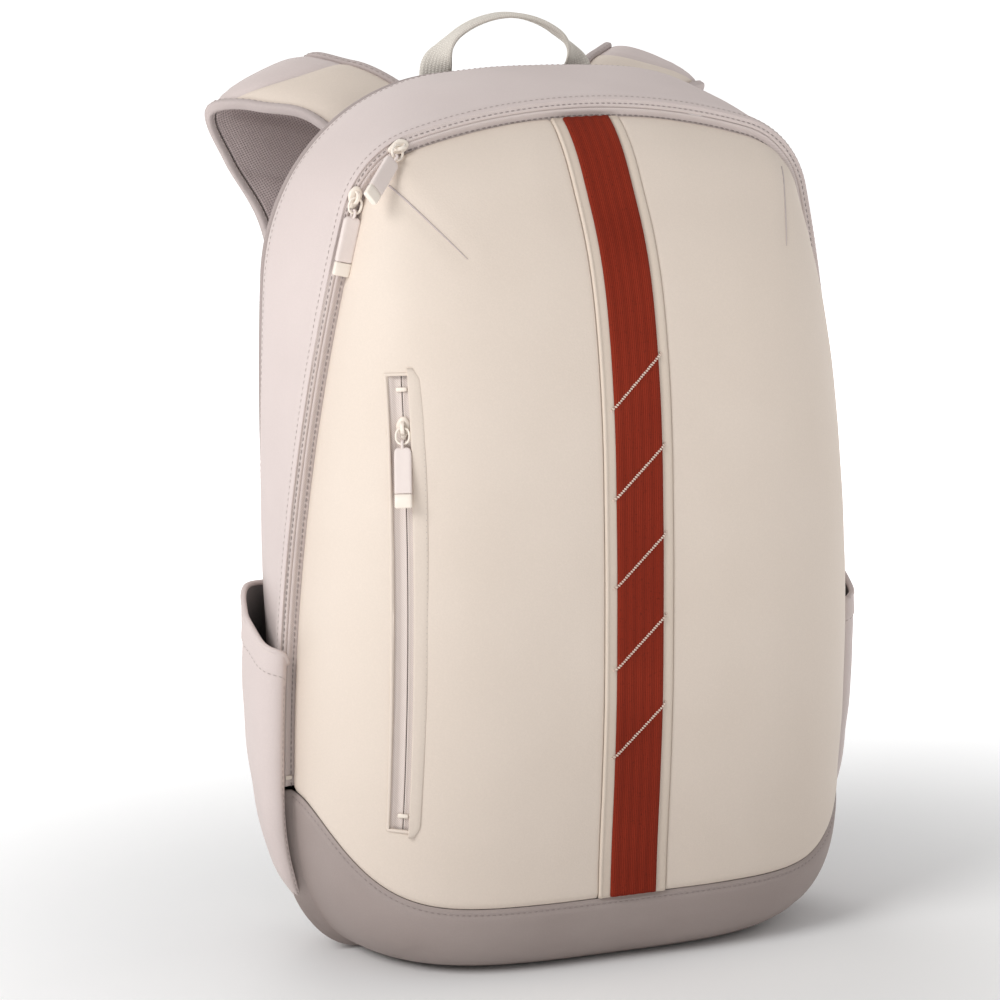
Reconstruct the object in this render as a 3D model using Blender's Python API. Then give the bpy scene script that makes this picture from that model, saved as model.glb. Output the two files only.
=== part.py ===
"""Racket backpack: a standing 0.48 m bag that opens clamshell-wise along one long arched zip.

Frame: metres, +Z up, the front panel faces -Y, the shoulder straps hang on the +Y side.
z = 0 is the flat underside of the base and x = 0 is the plane the bag is symmetric about,
except for the front pocket and the two parked zip sliders, which are on the -X side.
"""
import bpy
import bmesh
from math import sin, cos, tan, pi, atan2, hypot, radians, sqrt
from mathutils import Vector, Matrix
from mathutils.bvhtree import BVHTree

# ---------------------------------------------------------------- driving dimensions
GAP = 0.0004                 # clearance kept between neighbouring pieces
FABRIC = 0.0016              # lined body fabric
TILT = 0.061                 # how far the opening's plane leans back, depth over height
PLANE_Y = 0.0282             # depth of the opening's plane at the height of the floor

# the front panel's edge: three tangent arcs on each side, in the opening's plane
EDGE_TOP, EDGE_TOP_R = 0.4610, 0.36
EDGE_HALF, EDGE_SIDE_Z, EDGE_SIDE_R = 0.1648, 0.133, 1.2
EDGE_CORNER_R = 0.045
LINE_COUNTS = (6, 6, 13)     # steps along the top, corner and side arcs
SEAM_CORNER_Z = 0.098        # height at which the zip meets the base seam
# the outline of the back, five arcs on each side
BACK_TOP, BACK_TOP_R = 0.4802, 0.7468
BACK_HALF, BACK_SIDE_Z, BACK_SIDE_R = 0.1574, 0.3049, 1.5273
BACK_CORNER_R = 0.1107
BACK_BOTTOM, BACK_BOTTOM_R, BACK_FOOT_R = 0.012, 0.6, 0.060
BACK_Y = 0.0765              # depth at which the gusset meets the back

ZIP_CENTRE = 0.0050          # zip line, outside the panel's edge
ZIP_BAND = 0.0100            # from the panel's edge to the gusset's edge
TAPE = 0.0009                # thickness of a zip tape
TAPE_LIFT = -0.0012          # top of the main zip's tape, from the opening's plane

# how far the front stands out on the centre line, as (depth, height)
CENTRE_PROFILE = [(0.0000, 0.4610), (0.0099, 0.4535), (0.0210, 0.4410), (0.0335, 0.4210), (0.0456, 0.3990),
                  (0.0544, 0.3760), (0.0610, 0.3480), (0.0660, 0.3160), (0.0687, 0.2875), (0.0700, 0.2600),
                  (0.0712, 0.227), (0.0716, 0.194), (0.0714, 0.150), (0.0690, 0.105), (0.0662, 0.0706),
                  (0.0645, 0.040)]
SEAM_FRONT_Z = 0.040         # height of the base seam at the middle of the front
SEAM_RISE_POWER = 8.0
STRIP_HALF = 0.0205          # cream strip down the middle
WEBBING_HALF = 0.0140        # rust webbing on the strip
STITCH_HEIGHTS = [0.3236, 0.2755, 0.2275, 0.1825, 0.1337]
STITCH_HALF, STITCH_WIDTH, STITCH_HIGH = 0.0142, 0.0015, 0.0008

SLOT_TOP = (-0.1272, 0.332)  # front pocket's zip, (x, z)
SLOT_FOOT = (-0.1292, 0.086)
SLOT_HALF = 0.0070

BASE_FLOOR_INSET = 0.060     # how far the flat floor lies inside the base's rim
BASE_BACK_INSET = 0.002
BASE_ROUND = 2.15            # exponent of the base's rounding
BASE_WALL = 0.0022
GUSSET_BULGE = 0.0065

POCKET_FRONT_Z, POCKET_BACK_Z = 0.168, 0.200
POCKET_FOOT_Z = 0.034
POCKET_STAND_OFF = 0.0115

STRAP_WIDTH, STRAP_THICK = 0.064, 0.011
WEB_WIDTH, WEB_THICK = 0.025, 0.0014

COLOURS = {
    "cream": (0.80, 0.75, 0.69, 1), "taupe": (0.62, 0.57, 0.55, 1), "dark_taupe": (0.42, 0.37, 0.36, 1),
    "rust": (0.42, 0.16, 0.12, 1), "cream_hard": (0.83, 0.79, 0.73, 1), "grip": (0.52, 0.49, 0.49, 1),
    "mesh": (0.50, 0.46, 0.45, 1), "lining": (0.35, 0.33, 0.33, 1), "board": (0.10, 0.10, 0.11, 1),
}

# ---------------------------------------------------------------- the opening's plane
LEAN = atan2(TILT, 1.0)
PLANE_UP = Vector((0, -sin(LEAN), cos(LEAN)))
PLANE_OUT = Vector((0, -cos(LEAN), -sin(LEAN)))
PLANE_ORIGIN = Vector((0, PLANE_Y, 0))


def in_plane(x, w, lift=0.0):
    """Point of the opening's plane, lifted off it towards the front."""
    return PLANE_ORIGIN + Vector((x, 0, 0)) + PLANE_UP * w + PLANE_OUT * lift


def plane_y(z):
    return PLANE_Y - TILT * z


# ---------------------------------------------------------------- outlines made of tangent arcs
def touching(c1, r1, c2, r2, r, upper):
    """Centre of the arc of radius r that touches two others from the inside."""
    a, b = r1 - r, r2 - r
    dx, dz = c2[0] - c1[0], c2[1] - c1[1]
    d = hypot(dx, dz)
    t = (a * a - b * b + d * d) / (2 * d)
    h = sqrt(max(a * a - t * t, 0))
    both = [(c1[0] + t * dx / d - k * h * dz / d, c1[1] + t * dz / d + k * h * dx / d) for k in (1, -1)]
    return max(both, key=lambda q: upper * q[1] + q[0])


def heading(p, c):
    return atan2(p[1] - c[1], p[0] - c[0])


TOP_C = (0.0, EDGE_TOP - EDGE_TOP_R)
SIDE_C = (EDGE_HALF - EDGE_SIDE_R, EDGE_SIDE_Z)
CORNER_C = touching(TOP_C, EDGE_TOP_R, SIDE_C, EDGE_SIDE_R, EDGE_CORNER_R, 1)
TOP_END = heading(CORNER_C, TOP_C)
SIDE_START = heading(CORNER_C, SIDE_C)
SIDE_END = atan2(SEAM_CORNER_Z - EDGE_SIDE_Z, EDGE_SIDE_R)


def edge_line(offset, counts=LINE_COUNTS, foot_z=SEAM_CORNER_Z):
    """The panel's edge moved outwards, from the -X seam corner over the top to the +X one, as (x, w)."""
    top, corner, side = counts
    foot = atan2(foot_z - EDGE_SIDE_Z, EDGE_SIDE_R)
    half = []
    for i in range(top):
        half.append((TOP_C, EDGE_TOP_R, pi / 2 + (TOP_END - pi / 2) * i / top))
    for i in range(corner):
        half.append((CORNER_C, EDGE_CORNER_R, TOP_END + (SIDE_START - TOP_END) * i / corner))
    for i in range(side + 1):
        half.append((SIDE_C, EDGE_SIDE_R, SIDE_START + (foot - SIDE_START) * i / side))
    right = [(c[0] + (r + offset) * cos(a), c[1] + (r + offset) * sin(a)) for c, r, a in half]
    left = [(-x, w) for x, w in right[:0:-1]]
    return left + right


def back_line(offset, counts=(8, 8, 16, 8, 8)):
    """The closed outline of the back moved outwards, clockwise from the top, as (x, z)."""
    top_c = (0.0, BACK_TOP - BACK_TOP_R)
    side_c = (BACK_HALF - BACK_SIDE_R, BACK_SIDE_Z)
    low_c = (0.0, BACK_BOTTOM + BACK_BOTTOM_R)
    corner = touching(top_c, BACK_TOP_R, side_c, BACK_SIDE_R, BACK_CORNER_R, 1)
    foot = touching(low_c, BACK_BOTTOM_R, side_c, BACK_SIDE_R, BACK_FOOT_R, -1)
    turns = [pi / 2, heading(corner, top_c), heading(corner, side_c), heading(foot, side_c),
             heading(foot, low_c), -pi / 2]
    arcs = [(top_c, BACK_TOP_R), (corner, BACK_CORNER_R), (side_c, BACK_SIDE_R), (foot, BACK_FOOT_R),
            (low_c, BACK_BOTTOM_R)]
    half = []
    for (c, r), a, b, n in zip(arcs, turns, turns[1:], counts):
        for i in range(n):
            t = a + (b - a) * i / n
            half.append((c[0] + (r + offset) * cos(t), c[1] + (r + offset) * sin(t)))
    half.append((0.0, BACK_BOTTOM - offset))
    return half + [(-x, z) for x, z in half[-2:0:-1]]


def resample(points, n):
    """n + 1 points at even distances along a polyline."""
    lengths = [0.0]
    for a, b in zip(points, points[1:]):
        lengths.append(lengths[-1] + (Vector(b) - Vector(a)).length)
    out, k = [], 0
    for i in range(n + 1):
        s = lengths[-1] * i / n
        while k < len(points) - 2 and lengths[k + 1] < s:
            k += 1
        t = (s - lengths[k]) / (lengths[k + 1] - lengths[k])
        out.append(Vector(points[k]).lerp(Vector(points[k + 1]), min(max(t, 0), 1)))
    return out


def mix(a, b, t):
    return a + (b - a) * t


def profile(z):
    """Depth of the centre line at a height."""
    pts = CENTRE_PROFILE
    if z >= pts[0][1]:
        return pts[0][0]
    for i in range(len(pts) - 1):
        (f1, z1), (f2, z2) = pts[i], pts[i + 1]
        if z >= z2:
            t = (z1 - z) / (z1 - z2)
            before = pts[i - 1] if i else (2 * f1 - f2, 2 * z1 - z2)
            after = pts[i + 2] if i + 2 < len(pts) else (2 * f2 - f1, 2 * z2 - z1)
            m1 = (f2 - before[0]) / (before[1] - z2) * (z1 - z2)
            m2 = (after[0] - f1) / (z1 - after[1]) * (z1 - z2)
            return ((2 * t**3 - 3 * t**2 + 1) * f1 + (t**3 - 2 * t**2 + t) * m1
                    + (3 * t**2 - 2 * t**3) * f2 + (t**3 - t**2) * m2)
    return pts[-1][0]


# ---------------------------------------------------------------- the domed front
EDGE_RIGHT = [p for p in edge_line(0.0, (24, 24, 60)) if p[0] >= 0]
CORNER_MID = (TOP_END + SIDE_START) / 2
CORNER_X = CORNER_C[0] + EDGE_CORNER_R * cos(CORNER_MID)
EDGE_OVER = [p for p in EDGE_RIGHT if p[0] <= CORNER_X and p[1] > CORNER_C[1]]
EDGE_DOWN = [p for p in EDGE_RIGHT if p not in EDGE_OVER]
EDGE_DOWN.insert(0, EDGE_OVER[-1])


def along(points, t):
    """Point at a fraction of a polyline's length."""
    total = sum((Vector(b) - Vector(a)).length for a, b in zip(points, points[1:]))
    left = total * min(max(t, 0), 1)
    for a, b in zip(points, points[1:]):
        step = (Vector(b) - Vector(a)).length
        if left <= step + 1e-12:
            return Vector(a).lerp(Vector(b), left / step)
        left -= step
    return Vector(points[-1])


def seam_z(x):
    """Height of the base seam across the front."""
    return SEAM_FRONT_Z + (SEAM_CORNER_Z - SEAM_FRONT_Z) * min(abs(x) / EDGE_HALF, 1) ** SEAM_RISE_POWER


def front_point(u, v, inner=STRIP_HALF):
    """Right half of the front: u from the inner edge (0) to the zip (1), v from the seam (0) to the top (1)."""
    over = [Vector(p) for p in EDGE_OVER if p[0] > inner]
    over.insert(0, Vector((inner, in_arc(inner))))
    top = along(over, u)
    side = along(EDGE_DOWN, 1 - v)
    x_low = mix(inner, EDGE_DOWN[-1][0], u)
    low = Vector((x_low, seam_z(x_low)))
    near = Vector((inner, mix(seam_z(inner), over[0][1], v)))
    corners = (Vector((inner, seam_z(inner))), Vector(EDGE_DOWN[-1]), over[0], Vector(EDGE_OVER[-1]))
    flat = corners[0].lerp(corners[1], u) * (1 - v) + corners[2].lerp(corners[3], u) * v
    p = low * (1 - v) + top * v + near * (1 - u) + side * u - flat
    reach = near[1]
    share = inner / EDGE_HALF
    across = share + (1 - share) * u
    depth = profile(reach) + plane_y(reach)
    bow = mix(3.5, 3.8, min(v * 1.6, 1))
    swell = max(1 - across ** bow, 0) ** (1 / mix(2.0, 2.3, v))
    return Vector((p[0], plane_y(p[1]) - depth * swell, p[1]))


def in_arc(x):
    """Height of the panel's edge above a point near the middle."""
    return TOP_C[1] + sqrt(EDGE_TOP_R ** 2 - x * x)


# ---------------------------------------------------------------- mesh building
def material(name):
    known = bpy.data.materials.get(name)
    if known:
        return known
    made = bpy.data.materials.new(name)
    made.use_nodes = True
    shader = made.node_tree.nodes["Principled BSDF"]
    colour = COLOURS[name.split("-")[0]]
    shader.inputs["Base Color"].default_value = colour
    shader.inputs["Roughness"].default_value = 0.8
    made.diffuse_color = colour
    return made


def solid(name, colour, verts, faces, origin=None):
    """A closed body as an object with its own material and, if given, its origin on a joint's axis."""
    mesh = bpy.data.meshes.new(name)
    origin = Vector(origin) if origin is not None else Vector((0, 0, 0))
    mesh.from_pydata([Vector(v) - origin for v in verts], [], faces)
    bm = bmesh.new()
    bm.from_mesh(mesh)
    bmesh.ops.remove_doubles(bm, verts=bm.verts, dist=1e-6)
    bmesh.ops.recalc_face_normals(bm, faces=bm.faces)
    bm.to_mesh(mesh)
    bm.free()
    obj = bpy.data.objects.new(name, mesh)
    obj.location = origin
    bpy.context.collection.objects.link(obj)
    mesh.materials.append(material(colour + "-" + name))
    return obj


def normals(grid, closed=False):
    """Unit normals of a grid of points, by differences along both directions."""
    rows, cols = len(grid), len(grid[0])
    out = []
    for i in range(rows):
        line = []
        for j in range(cols):
            up = grid[min(i + 1, rows - 1)][j] - grid[max(i - 1, 0)][j]
            if closed:
                along_row = grid[i][(j + 1) % cols] - grid[i][j - 1]
            else:
                along_row = grid[i][min(j + 1, cols - 1)] - grid[i][max(j - 1, 0)]
            line.append(along_row.cross(up).normalized())
        out.append(line)
    return out


def sheet(outer, inner, closed=False):
    """Vertices and faces of a thick sheet between two grids of the same shape."""
    rows, cols = len(outer), len(outer[0])
    verts = [p for row in outer for p in row] + [p for row in inner for p in row]
    size = rows * cols
    faces = []

    def at(i, j, layer):
        return layer * size + i * cols + j % cols

    last = cols if closed else cols - 1
    for i in range(rows - 1):
        for j in range(last):
            faces.append([at(i, j, 0), at(i, j + 1, 0), at(i + 1, j + 1, 0), at(i + 1, j, 0)])
            faces.append([at(i, j, 1), at(i + 1, j, 1), at(i + 1, j + 1, 1), at(i, j + 1, 1)])
    for j in range(last):
        faces.append([at(0, j, 0), at(0, j, 1), at(0, j + 1, 1), at(0, j + 1, 0)])
        faces.append([at(rows - 1, j, 0), at(rows - 1, j + 1, 0), at(rows - 1, j + 1, 1), at(rows - 1, j, 1)])
    if not closed:
        for i in range(rows - 1):
            faces.append([at(i, 0, 0), at(i + 1, 0, 0), at(i + 1, 0, 1), at(i, 0, 1)])
            faces.append([at(i, cols - 1, 0), at(i, cols - 1, 1), at(i + 1, cols - 1, 1), at(i + 1, cols - 1, 0)])
    return verts, faces


def thick(grid, thickness, closed=False, lift=0.0, turn=1):
    """A grid given thickness along its normals, inwards from the lifted face."""
    n = normals(grid, closed)
    outer = [[p + q * turn * lift for p, q in zip(a, b)] for a, b in zip(grid, n)]
    inner = [[p + q * turn * (lift - thickness) for p, q in zip(a, b)] for a, b in zip(grid, n)]
    return sheet(outer, inner, closed)


def tube(rings, closed=False):
    """A body through a row of rings with the same number of points."""
    n = len(rings[0])
    verts = [p for ring in rings for p in ring]
    faces = []
    count = len(rings)
    for i in range(count if closed else count - 1):
        for j in range(n):
            a, b = i * n, ((i + 1) % count) * n
            faces.append([a + j, a + (j + 1) % n, b + (j + 1) % n, b + j])
    if not closed:
        faces.append(list(range(n))[::-1])
        faces.append([(count - 1) * n + j for j in range(n)])
    return verts, faces


def round_section(radius_a, radius_b, n=8, power=1.0):
    """An oval, or with a power below 1 a rounded oblong, as (a, b) pairs."""
    out = []
    for k in range(n):
        t = 2 * pi * (k + 0.5) / n
        c, s = cos(t), sin(t)
        out.append((radius_a * abs(c) ** power * (1 if c > 0 else -1),
                    radius_b * abs(s) ** power * (1 if s > 0 else -1)))
    return out


def sweep(path, sides, section, closed=False, shear=False):
    """A section carried along a path; sides[i] is the direction of the section's first axis.

    The first axis is turned square to the path unless shear is set.
    """
    rings = []
    n = len(path)
    for i, p in enumerate(path):
        ahead = path[(i + 1) % n] if closed or i < n - 1 else p
        behind = path[i - 1] if closed or i > 0 else p
        forward = (ahead - behind).normalized()
        side = sides[i] if shear else (sides[i] - forward * sides[i].dot(forward)).normalized()
        up = side.cross(forward).normalized()
        local = section[i] if isinstance(section[0], list) else section
        rings.append([p + side * a + up * b for a, b in local])
    return tube(rings, closed)


def block(centre, axes, half):
    """An oriented box."""
    verts = []
    for a in (-1, 1):
        for b in (-1, 1):
            for c in (-1, 1):
                verts.append(centre + axes[0] * a * half[0] + axes[1] * b * half[1] + axes[2] * c * half[2])
    faces = [[0, 1, 3, 2], [4, 6, 7, 5], [0, 4, 5, 1], [2, 3, 7, 6], [0, 2, 6, 4], [1, 5, 7, 3]]
    return verts, faces


def hoop(centre, a, b, radius_a, radius_b, wire, n=16, m=6):
    """A closed oval ring of wire in the plane of a and b."""
    path = [centre + a * radius_a * cos(2 * pi * k / n) + b * radius_b * sin(2 * pi * k / n) for k in range(n)]
    across = a.cross(b).normalized()
    return sweep(path, [across] * n, round_section(wire, wire, m), True)


def modify(obj, other, operation):
    """Joins another body to an object, or cuts it out, and removes the other."""
    step = obj.modifiers.new("step", "BOOLEAN")
    step.operation = operation
    step.solver = "EXACT"
    step.object = other
    bpy.context.view_layer.update()
    evaluated = obj.evaluated_get(bpy.context.evaluated_depsgraph_get())
    mesh = bpy.data.meshes.new_from_object(evaluated)
    obj.modifiers.clear()
    keep = obj.data.materials[0]
    obj.data = mesh
    mesh.materials.clear()
    mesh.materials.append(keep)
    for face in mesh.polygons:
        face.material_index = 0
    bpy.data.objects.remove(other, do_unlink=True)
    return obj


def clear_scene():
    for obj in list(bpy.data.objects):
        bpy.data.objects.remove(obj, do_unlink=True)


# ---------------------------------------------------------------- front flap
def mirrored(grid):
    return [[Vector((-p.x, p.y, p.z)) for p in row] for row in grid]


ROWS, COLUMNS = 22, 13


def front_grid(inner=STRIP_HALF + GAP, rows=ROWS, columns=COLUMNS):
    grid = []
    for i in range(rows + 1):
        v = i / rows
        v = mix(v, sin(v * pi / 2), 0.5)
        grid.append([front_point(sin(j / columns * pi / 2), v, inner) for j in range(columns + 1)])
    return grid


def front_finder():
    """Finds the left front's surface and outward direction from (x, z)."""
    grid = mirrored(front_grid(0.0, 44, 30))
    verts = [p for row in grid for p in row]
    cols = len(grid[0])
    faces = [(i * cols + j, (i + 1) * cols + j, (i + 1) * cols + j + 1, i * cols + j + 1)
             for i in range(len(grid) - 1) for j in range(cols - 1)]
    tree = BVHTree.FromPolygons(verts, faces)

    def find(x, z):
        hit, normal, _, _ = tree.ray_cast(Vector((x, -1, z)), Vector((0, 1, 0)))
        return hit, -normal if normal.y > 0 else normal
    return find


def slot_track(find):
    """The pocket zip's path: an exact circle fitted through the front's surface.

    Returns its centre, radius, outward and downward directions, half its angle and the surface's side slope.
    """
    ends = [find(*SLOT_TOP)[0], find(*SLOT_FOOT)[0]]
    middle, normal = find((SLOT_TOP[0] + SLOT_FOOT[0]) / 2, (SLOT_TOP[1] + SLOT_FOOT[1]) / 2)
    chord = ends[1] - ends[0]
    down = chord.normalized()
    bow = middle - (ends[0] + chord / 2)
    bow -= down * bow.dot(down)
    sag, out = bow.length, bow.normalized()
    radius = (chord.length ** 2 / 4 + sag ** 2) / (2 * sag)
    centre = ends[0] + chord / 2 - out * (radius - sag)
    half = atan2(chord.length / 2, radius - sag)
    side = out.cross(down)
    slope = atan2(-normal.dot(side), normal.dot(out))
    return centre, radius, out, down, half, slope


def track_axes(track, angle):
    """Directions along, across and off the pocket zip at an angle along it."""
    _, _, out, down, _, slope = track
    radial = out * cos(angle) + down * sin(angle)
    ahead = down * cos(angle) - out * sin(angle)
    side = out.cross(down)
    return ahead, side * cos(slope) + radial * sin(slope), radial * cos(slope) - side * sin(slope)


def on_track(track, angle, across=0.0, lift=0.0):
    centre, radius, out, down, _, _ = track
    _, side, off = track_axes(track, angle)
    return centre + (out * cos(angle) + down * sin(angle)) * radius + side * across + off * lift


def build_front(find, track):
    grid = front_grid()
    right = solid("front_panel_right", "cream", *thick(grid, FABRIC))
    left = solid("front_panel_left", "cream", *thick(mirrored(grid), FABRIC, turn=-1))
    # the slot of the pocket zip, cut right through the left panel
    half = track[4]
    steps = 8
    rings = []
    for k in range(steps + 1):
        a = -half + 2 * half * k / steps
        corners = [(-SLOT_HALF, -0.012), (SLOT_HALF, -0.012), (SLOT_HALF, 0.012), (-SLOT_HALF, 0.012)]
        rings.append([on_track(track, a, c, d) for c, d in corners])
    modify(left, solid("slot_cutter", "cream", *tube(rings)), "DIFFERENCE")
    build_strip()
    build_pocket(find, track)
    return left, right


def strip_surface(x, z):
    depth = profile(z) + plane_y(z)
    swell = max(1 - (abs(x) / EDGE_HALF) ** 3.5, 0) ** 0.48
    return Vector((x, plane_y(z) - depth * swell, z))


def strip_grid(half, low, high, rows, columns=4):
    """Part of the centre strip, (rows from bottom to top)."""
    grid = []
    for i in range(rows + 1):
        z = mix(low, high, i / rows)
        grid.append([strip_surface(mix(-half, half, j / columns), z) for j in range(columns + 1)])
    return grid


def build_strip():
    top = in_arc(STRIP_HALF) - 0.0008
    solid("centre_strip", "cream", *thick(strip_grid(STRIP_HALF, SEAM_FRONT_Z, top, 26), 0.0022, lift=0.0006))
    webbing = strip_grid(WEBBING_HALF, SEAM_FRONT_Z + 0.0005, top - 0.0005, 26)
    solid("stripe_webbing", "rust", *thick(webbing, 0.0012, lift=0.0006 + GAP + 0.0012))
    for k, z in enumerate(STITCH_HEIGHTS):
        grid = []
        for i in (-1, 1):
            row = []
            for j in range(5):
                x = mix(-STITCH_HALF, STITCH_HALF, j / 4)
                row.append(strip_surface(x, z + x * 0.92 + i * STITCH_WIDTH * 0.68))
            grid.append(row)
        lift = 0.0006 + GAP + 0.0012 + GAP + STITCH_HIGH
        solid("accent_stitch_%d" % (k + 1), "cream_hard", *thick(grid, STITCH_HIGH, lift=lift))


def track_strip(track, a0, a1, c0, c1, d0, d1, steps=16):
    """A strip of rectangular section along the pocket zip."""
    rings = []
    for k in range(steps + 1):
        a = mix(a0, a1, k / steps)
        rings.append([on_track(track, a, c, d) for c, d in ((c0, d0), (c1, d0), (c1, d1), (c0, d1))])
    return tube(rings)


POCKET_SINK = 0.0042         # how far the pocket zip lies below the surface


def build_pocket(find, track):
    half = track[4]
    tip = 0.0015 / track[1]
    # across the track: negative is towards the bag's left edge
    sink = POCKET_SINK
    solid("pocket_zip_tape_left", "taupe", *track_strip(track, -half + tip, half - tip,
          -SLOT_HALF - 0.0008, -0.0016 - GAP, -sink - TAPE, -sink))
    solid("pocket_zip_tape_right", "taupe", *track_strip(track, -half + tip, half - tip,
          0.0016 + GAP, SLOT_HALF + 0.0008, -sink - TAPE, -sink))
    coil = []
    steps = 64
    for k in range(steps + 1):
        a = mix(-half + 2 * tip, half - 2 * tip, k / steps)
        grow = 0.0016 if k % 2 else 0.0012
        coil.append([on_track(track, a, c, d - sink - 0.0003) for c, d in round_section(grow, grow * 0.7, 6)])
    solid("pocket_zip_coil", "cream_hard", *tube(coil))
    # folded lip along the inner edge of the slot
    lip = []
    for k in range(17):
        a = mix(-half - 0.004 / track[1], half + 0.004 / track[1], k / 16)
        ring = []
        for c, d in ((SLOT_HALF - 0.0030, 0.0), (SLOT_HALF - 0.0022, 0.0015), (SLOT_HALF + 0.0005, 0.0024),
                     (SLOT_HALF + 0.0035, 0.0018), (SLOT_HALF + 0.0048, GAP)):
            p = on_track(track, a, c, 0.0)
            surface, out = find(p.x, p.z)
            ring.append(surface + out * (d + GAP))
        ring.append(ring[-1] - Vector((0, 0, 0)))
        lip.append(ring[:5])
    solid("pocket_welt", "cream", *tube(lip))
    for name, a in (("pocket_zip_stop_top", -half + 5 * tip), ("pocket_zip_stop_foot", half - 5 * tip)):
        p = on_track(track, a, 0.0, -sink + 0.0016 + 0.0009)
        down, across, radial = track_axes(track, a)
        solid(name, "cream_hard", *block(p, (across, radial, down), (0.0030, 0.0007, 0.0012)))
    # the pocket's bag, lying flat behind the panel
    grid = []
    for i in range(11):
        z = mix(SLOT_FOOT[1] + 0.004, SLOT_TOP[1] + 0.006, i / 10)
        row = []
        for j in range(7):
            x = mix(-0.112, -0.030, j / 6)
            surface, out = find(x, z)
            row.append(surface - out * 0.0085)
        grid.append(row)
    solid("pocket_bag", "lining", *thick(grid, 0.0020))


# ---------------------------------------------------------------- main zip
def band(lo, hi, top, thickness, counts=LINE_COUNTS, foot_z=SEAM_CORNER_Z + 0.001):
    """A flat ribbon following the opening, between two distances outside the panel's edge."""
    a, b = edge_line(lo, counts, foot_z), edge_line(hi, counts, foot_z)
    rings = []
    for (xa, wa), (xb, wb) in zip(a, b):
        rings.append([in_plane(xa, wa, top), in_plane(xb, wb, top),
                      in_plane(xb, wb, top - thickness), in_plane(xa, wa, top - thickness)])
    return tube(rings)


COIL_COUNTS = (16, 10, 34)


def coil_line(offset, lift):
    """One side of the main zip's coil, waisted between the turns."""
    line = edge_line(offset, COIL_COUNTS, SEAM_CORNER_Z + 0.006)
    outer = edge_line(offset + 0.001, COIL_COUNTS, SEAM_CORNER_Z + 0.006)
    rings = []
    for k, ((x, w), (xo, wo)) in enumerate(zip(line, outer)):
        grow = 1.0 if k % 2 else 0.75
        across = Vector((xo - x, wo - w)).normalized()
        ring = []
        for a, b in ((-1, -1), (1, -1), (1, 1), (-1, 1)):
            s = 0.0007 * a * grow
            ring.append(in_plane(x + across.x * s, w + across.y * s, lift + 0.0006 * b * grow))
        rings.append(ring)
    return tube(rings)


def build_main_zip():
    lift = TAPE_LIFT
    solid("main_zip_tape_inner", "taupe", *band(-0.004, ZIP_CENTRE - 0.0002, lift, TAPE))
    solid("main_zip_tape_outer", "taupe", *band(ZIP_CENTRE + 0.0002, ZIP_BAND - FABRIC - GAP, lift, TAPE))
    under = lift - TAPE - 0.0006 - 0.0004
    solid("main_zip_coil_inner", "cream_hard", *coil_line(ZIP_CENTRE - 0.0011, under))
    solid("main_zip_coil_outer", "cream_hard", *coil_line(ZIP_CENTRE + 0.0011, under))
    for name, sign in (("main_zip_stop_left", -1), ("main_zip_stop_right", 1)):
        x, w = edge_line(ZIP_CENTRE - 0.0022)[0]
        seat = in_plane(abs(x) * sign, w + 0.0060, lift + GAP + 0.0007)
        solid(name, "cream_hard", *block(seat, (Vector((1, 0, 0)), PLANE_UP, PLANE_OUT), (0.0018, 0.0010, 0.0007)))


def side_arc(angle, lift, sign=-1):
    """Point, tangent and side direction of the zip line on a side arc (sign -1: the -X side)."""
    r = EDGE_SIDE_R + ZIP_CENTRE
    x, w = SIDE_C[0] + r * cos(angle), SIDE_C[1] + r * sin(angle)
    out = Vector((sign * cos(angle), 0, 0)) + PLANE_UP * sin(angle)
    down = Vector((sign * sin(angle), 0, 0)) - PLANE_UP * cos(angle)
    return in_plane(sign * x, w, lift), out, down


def top_arc(angle, lift):
    """The same for the top arc; the angle is measured from +X, so the -X side is above pi / 2."""
    r = EDGE_TOP_R + ZIP_CENTRE
    x, w = TOP_C[0] + r * cos(angle), TOP_C[1] + r * sin(angle)
    out = Vector((cos(angle), 0, 0)) + PLANE_UP * sin(angle)
    down = Vector((-sin(angle), 0, 0)) + PLANE_UP * cos(angle)
    return in_plane(x, w, lift), out, down


RING_WIRE = 0.0007
RING_HALF = 0.0036
RING_LONG = 0.0042
GRIP = (0.0046, 0.0122, 0.0017)     # half width, half length, half thickness
CAP_LONG = 0.0036


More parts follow.
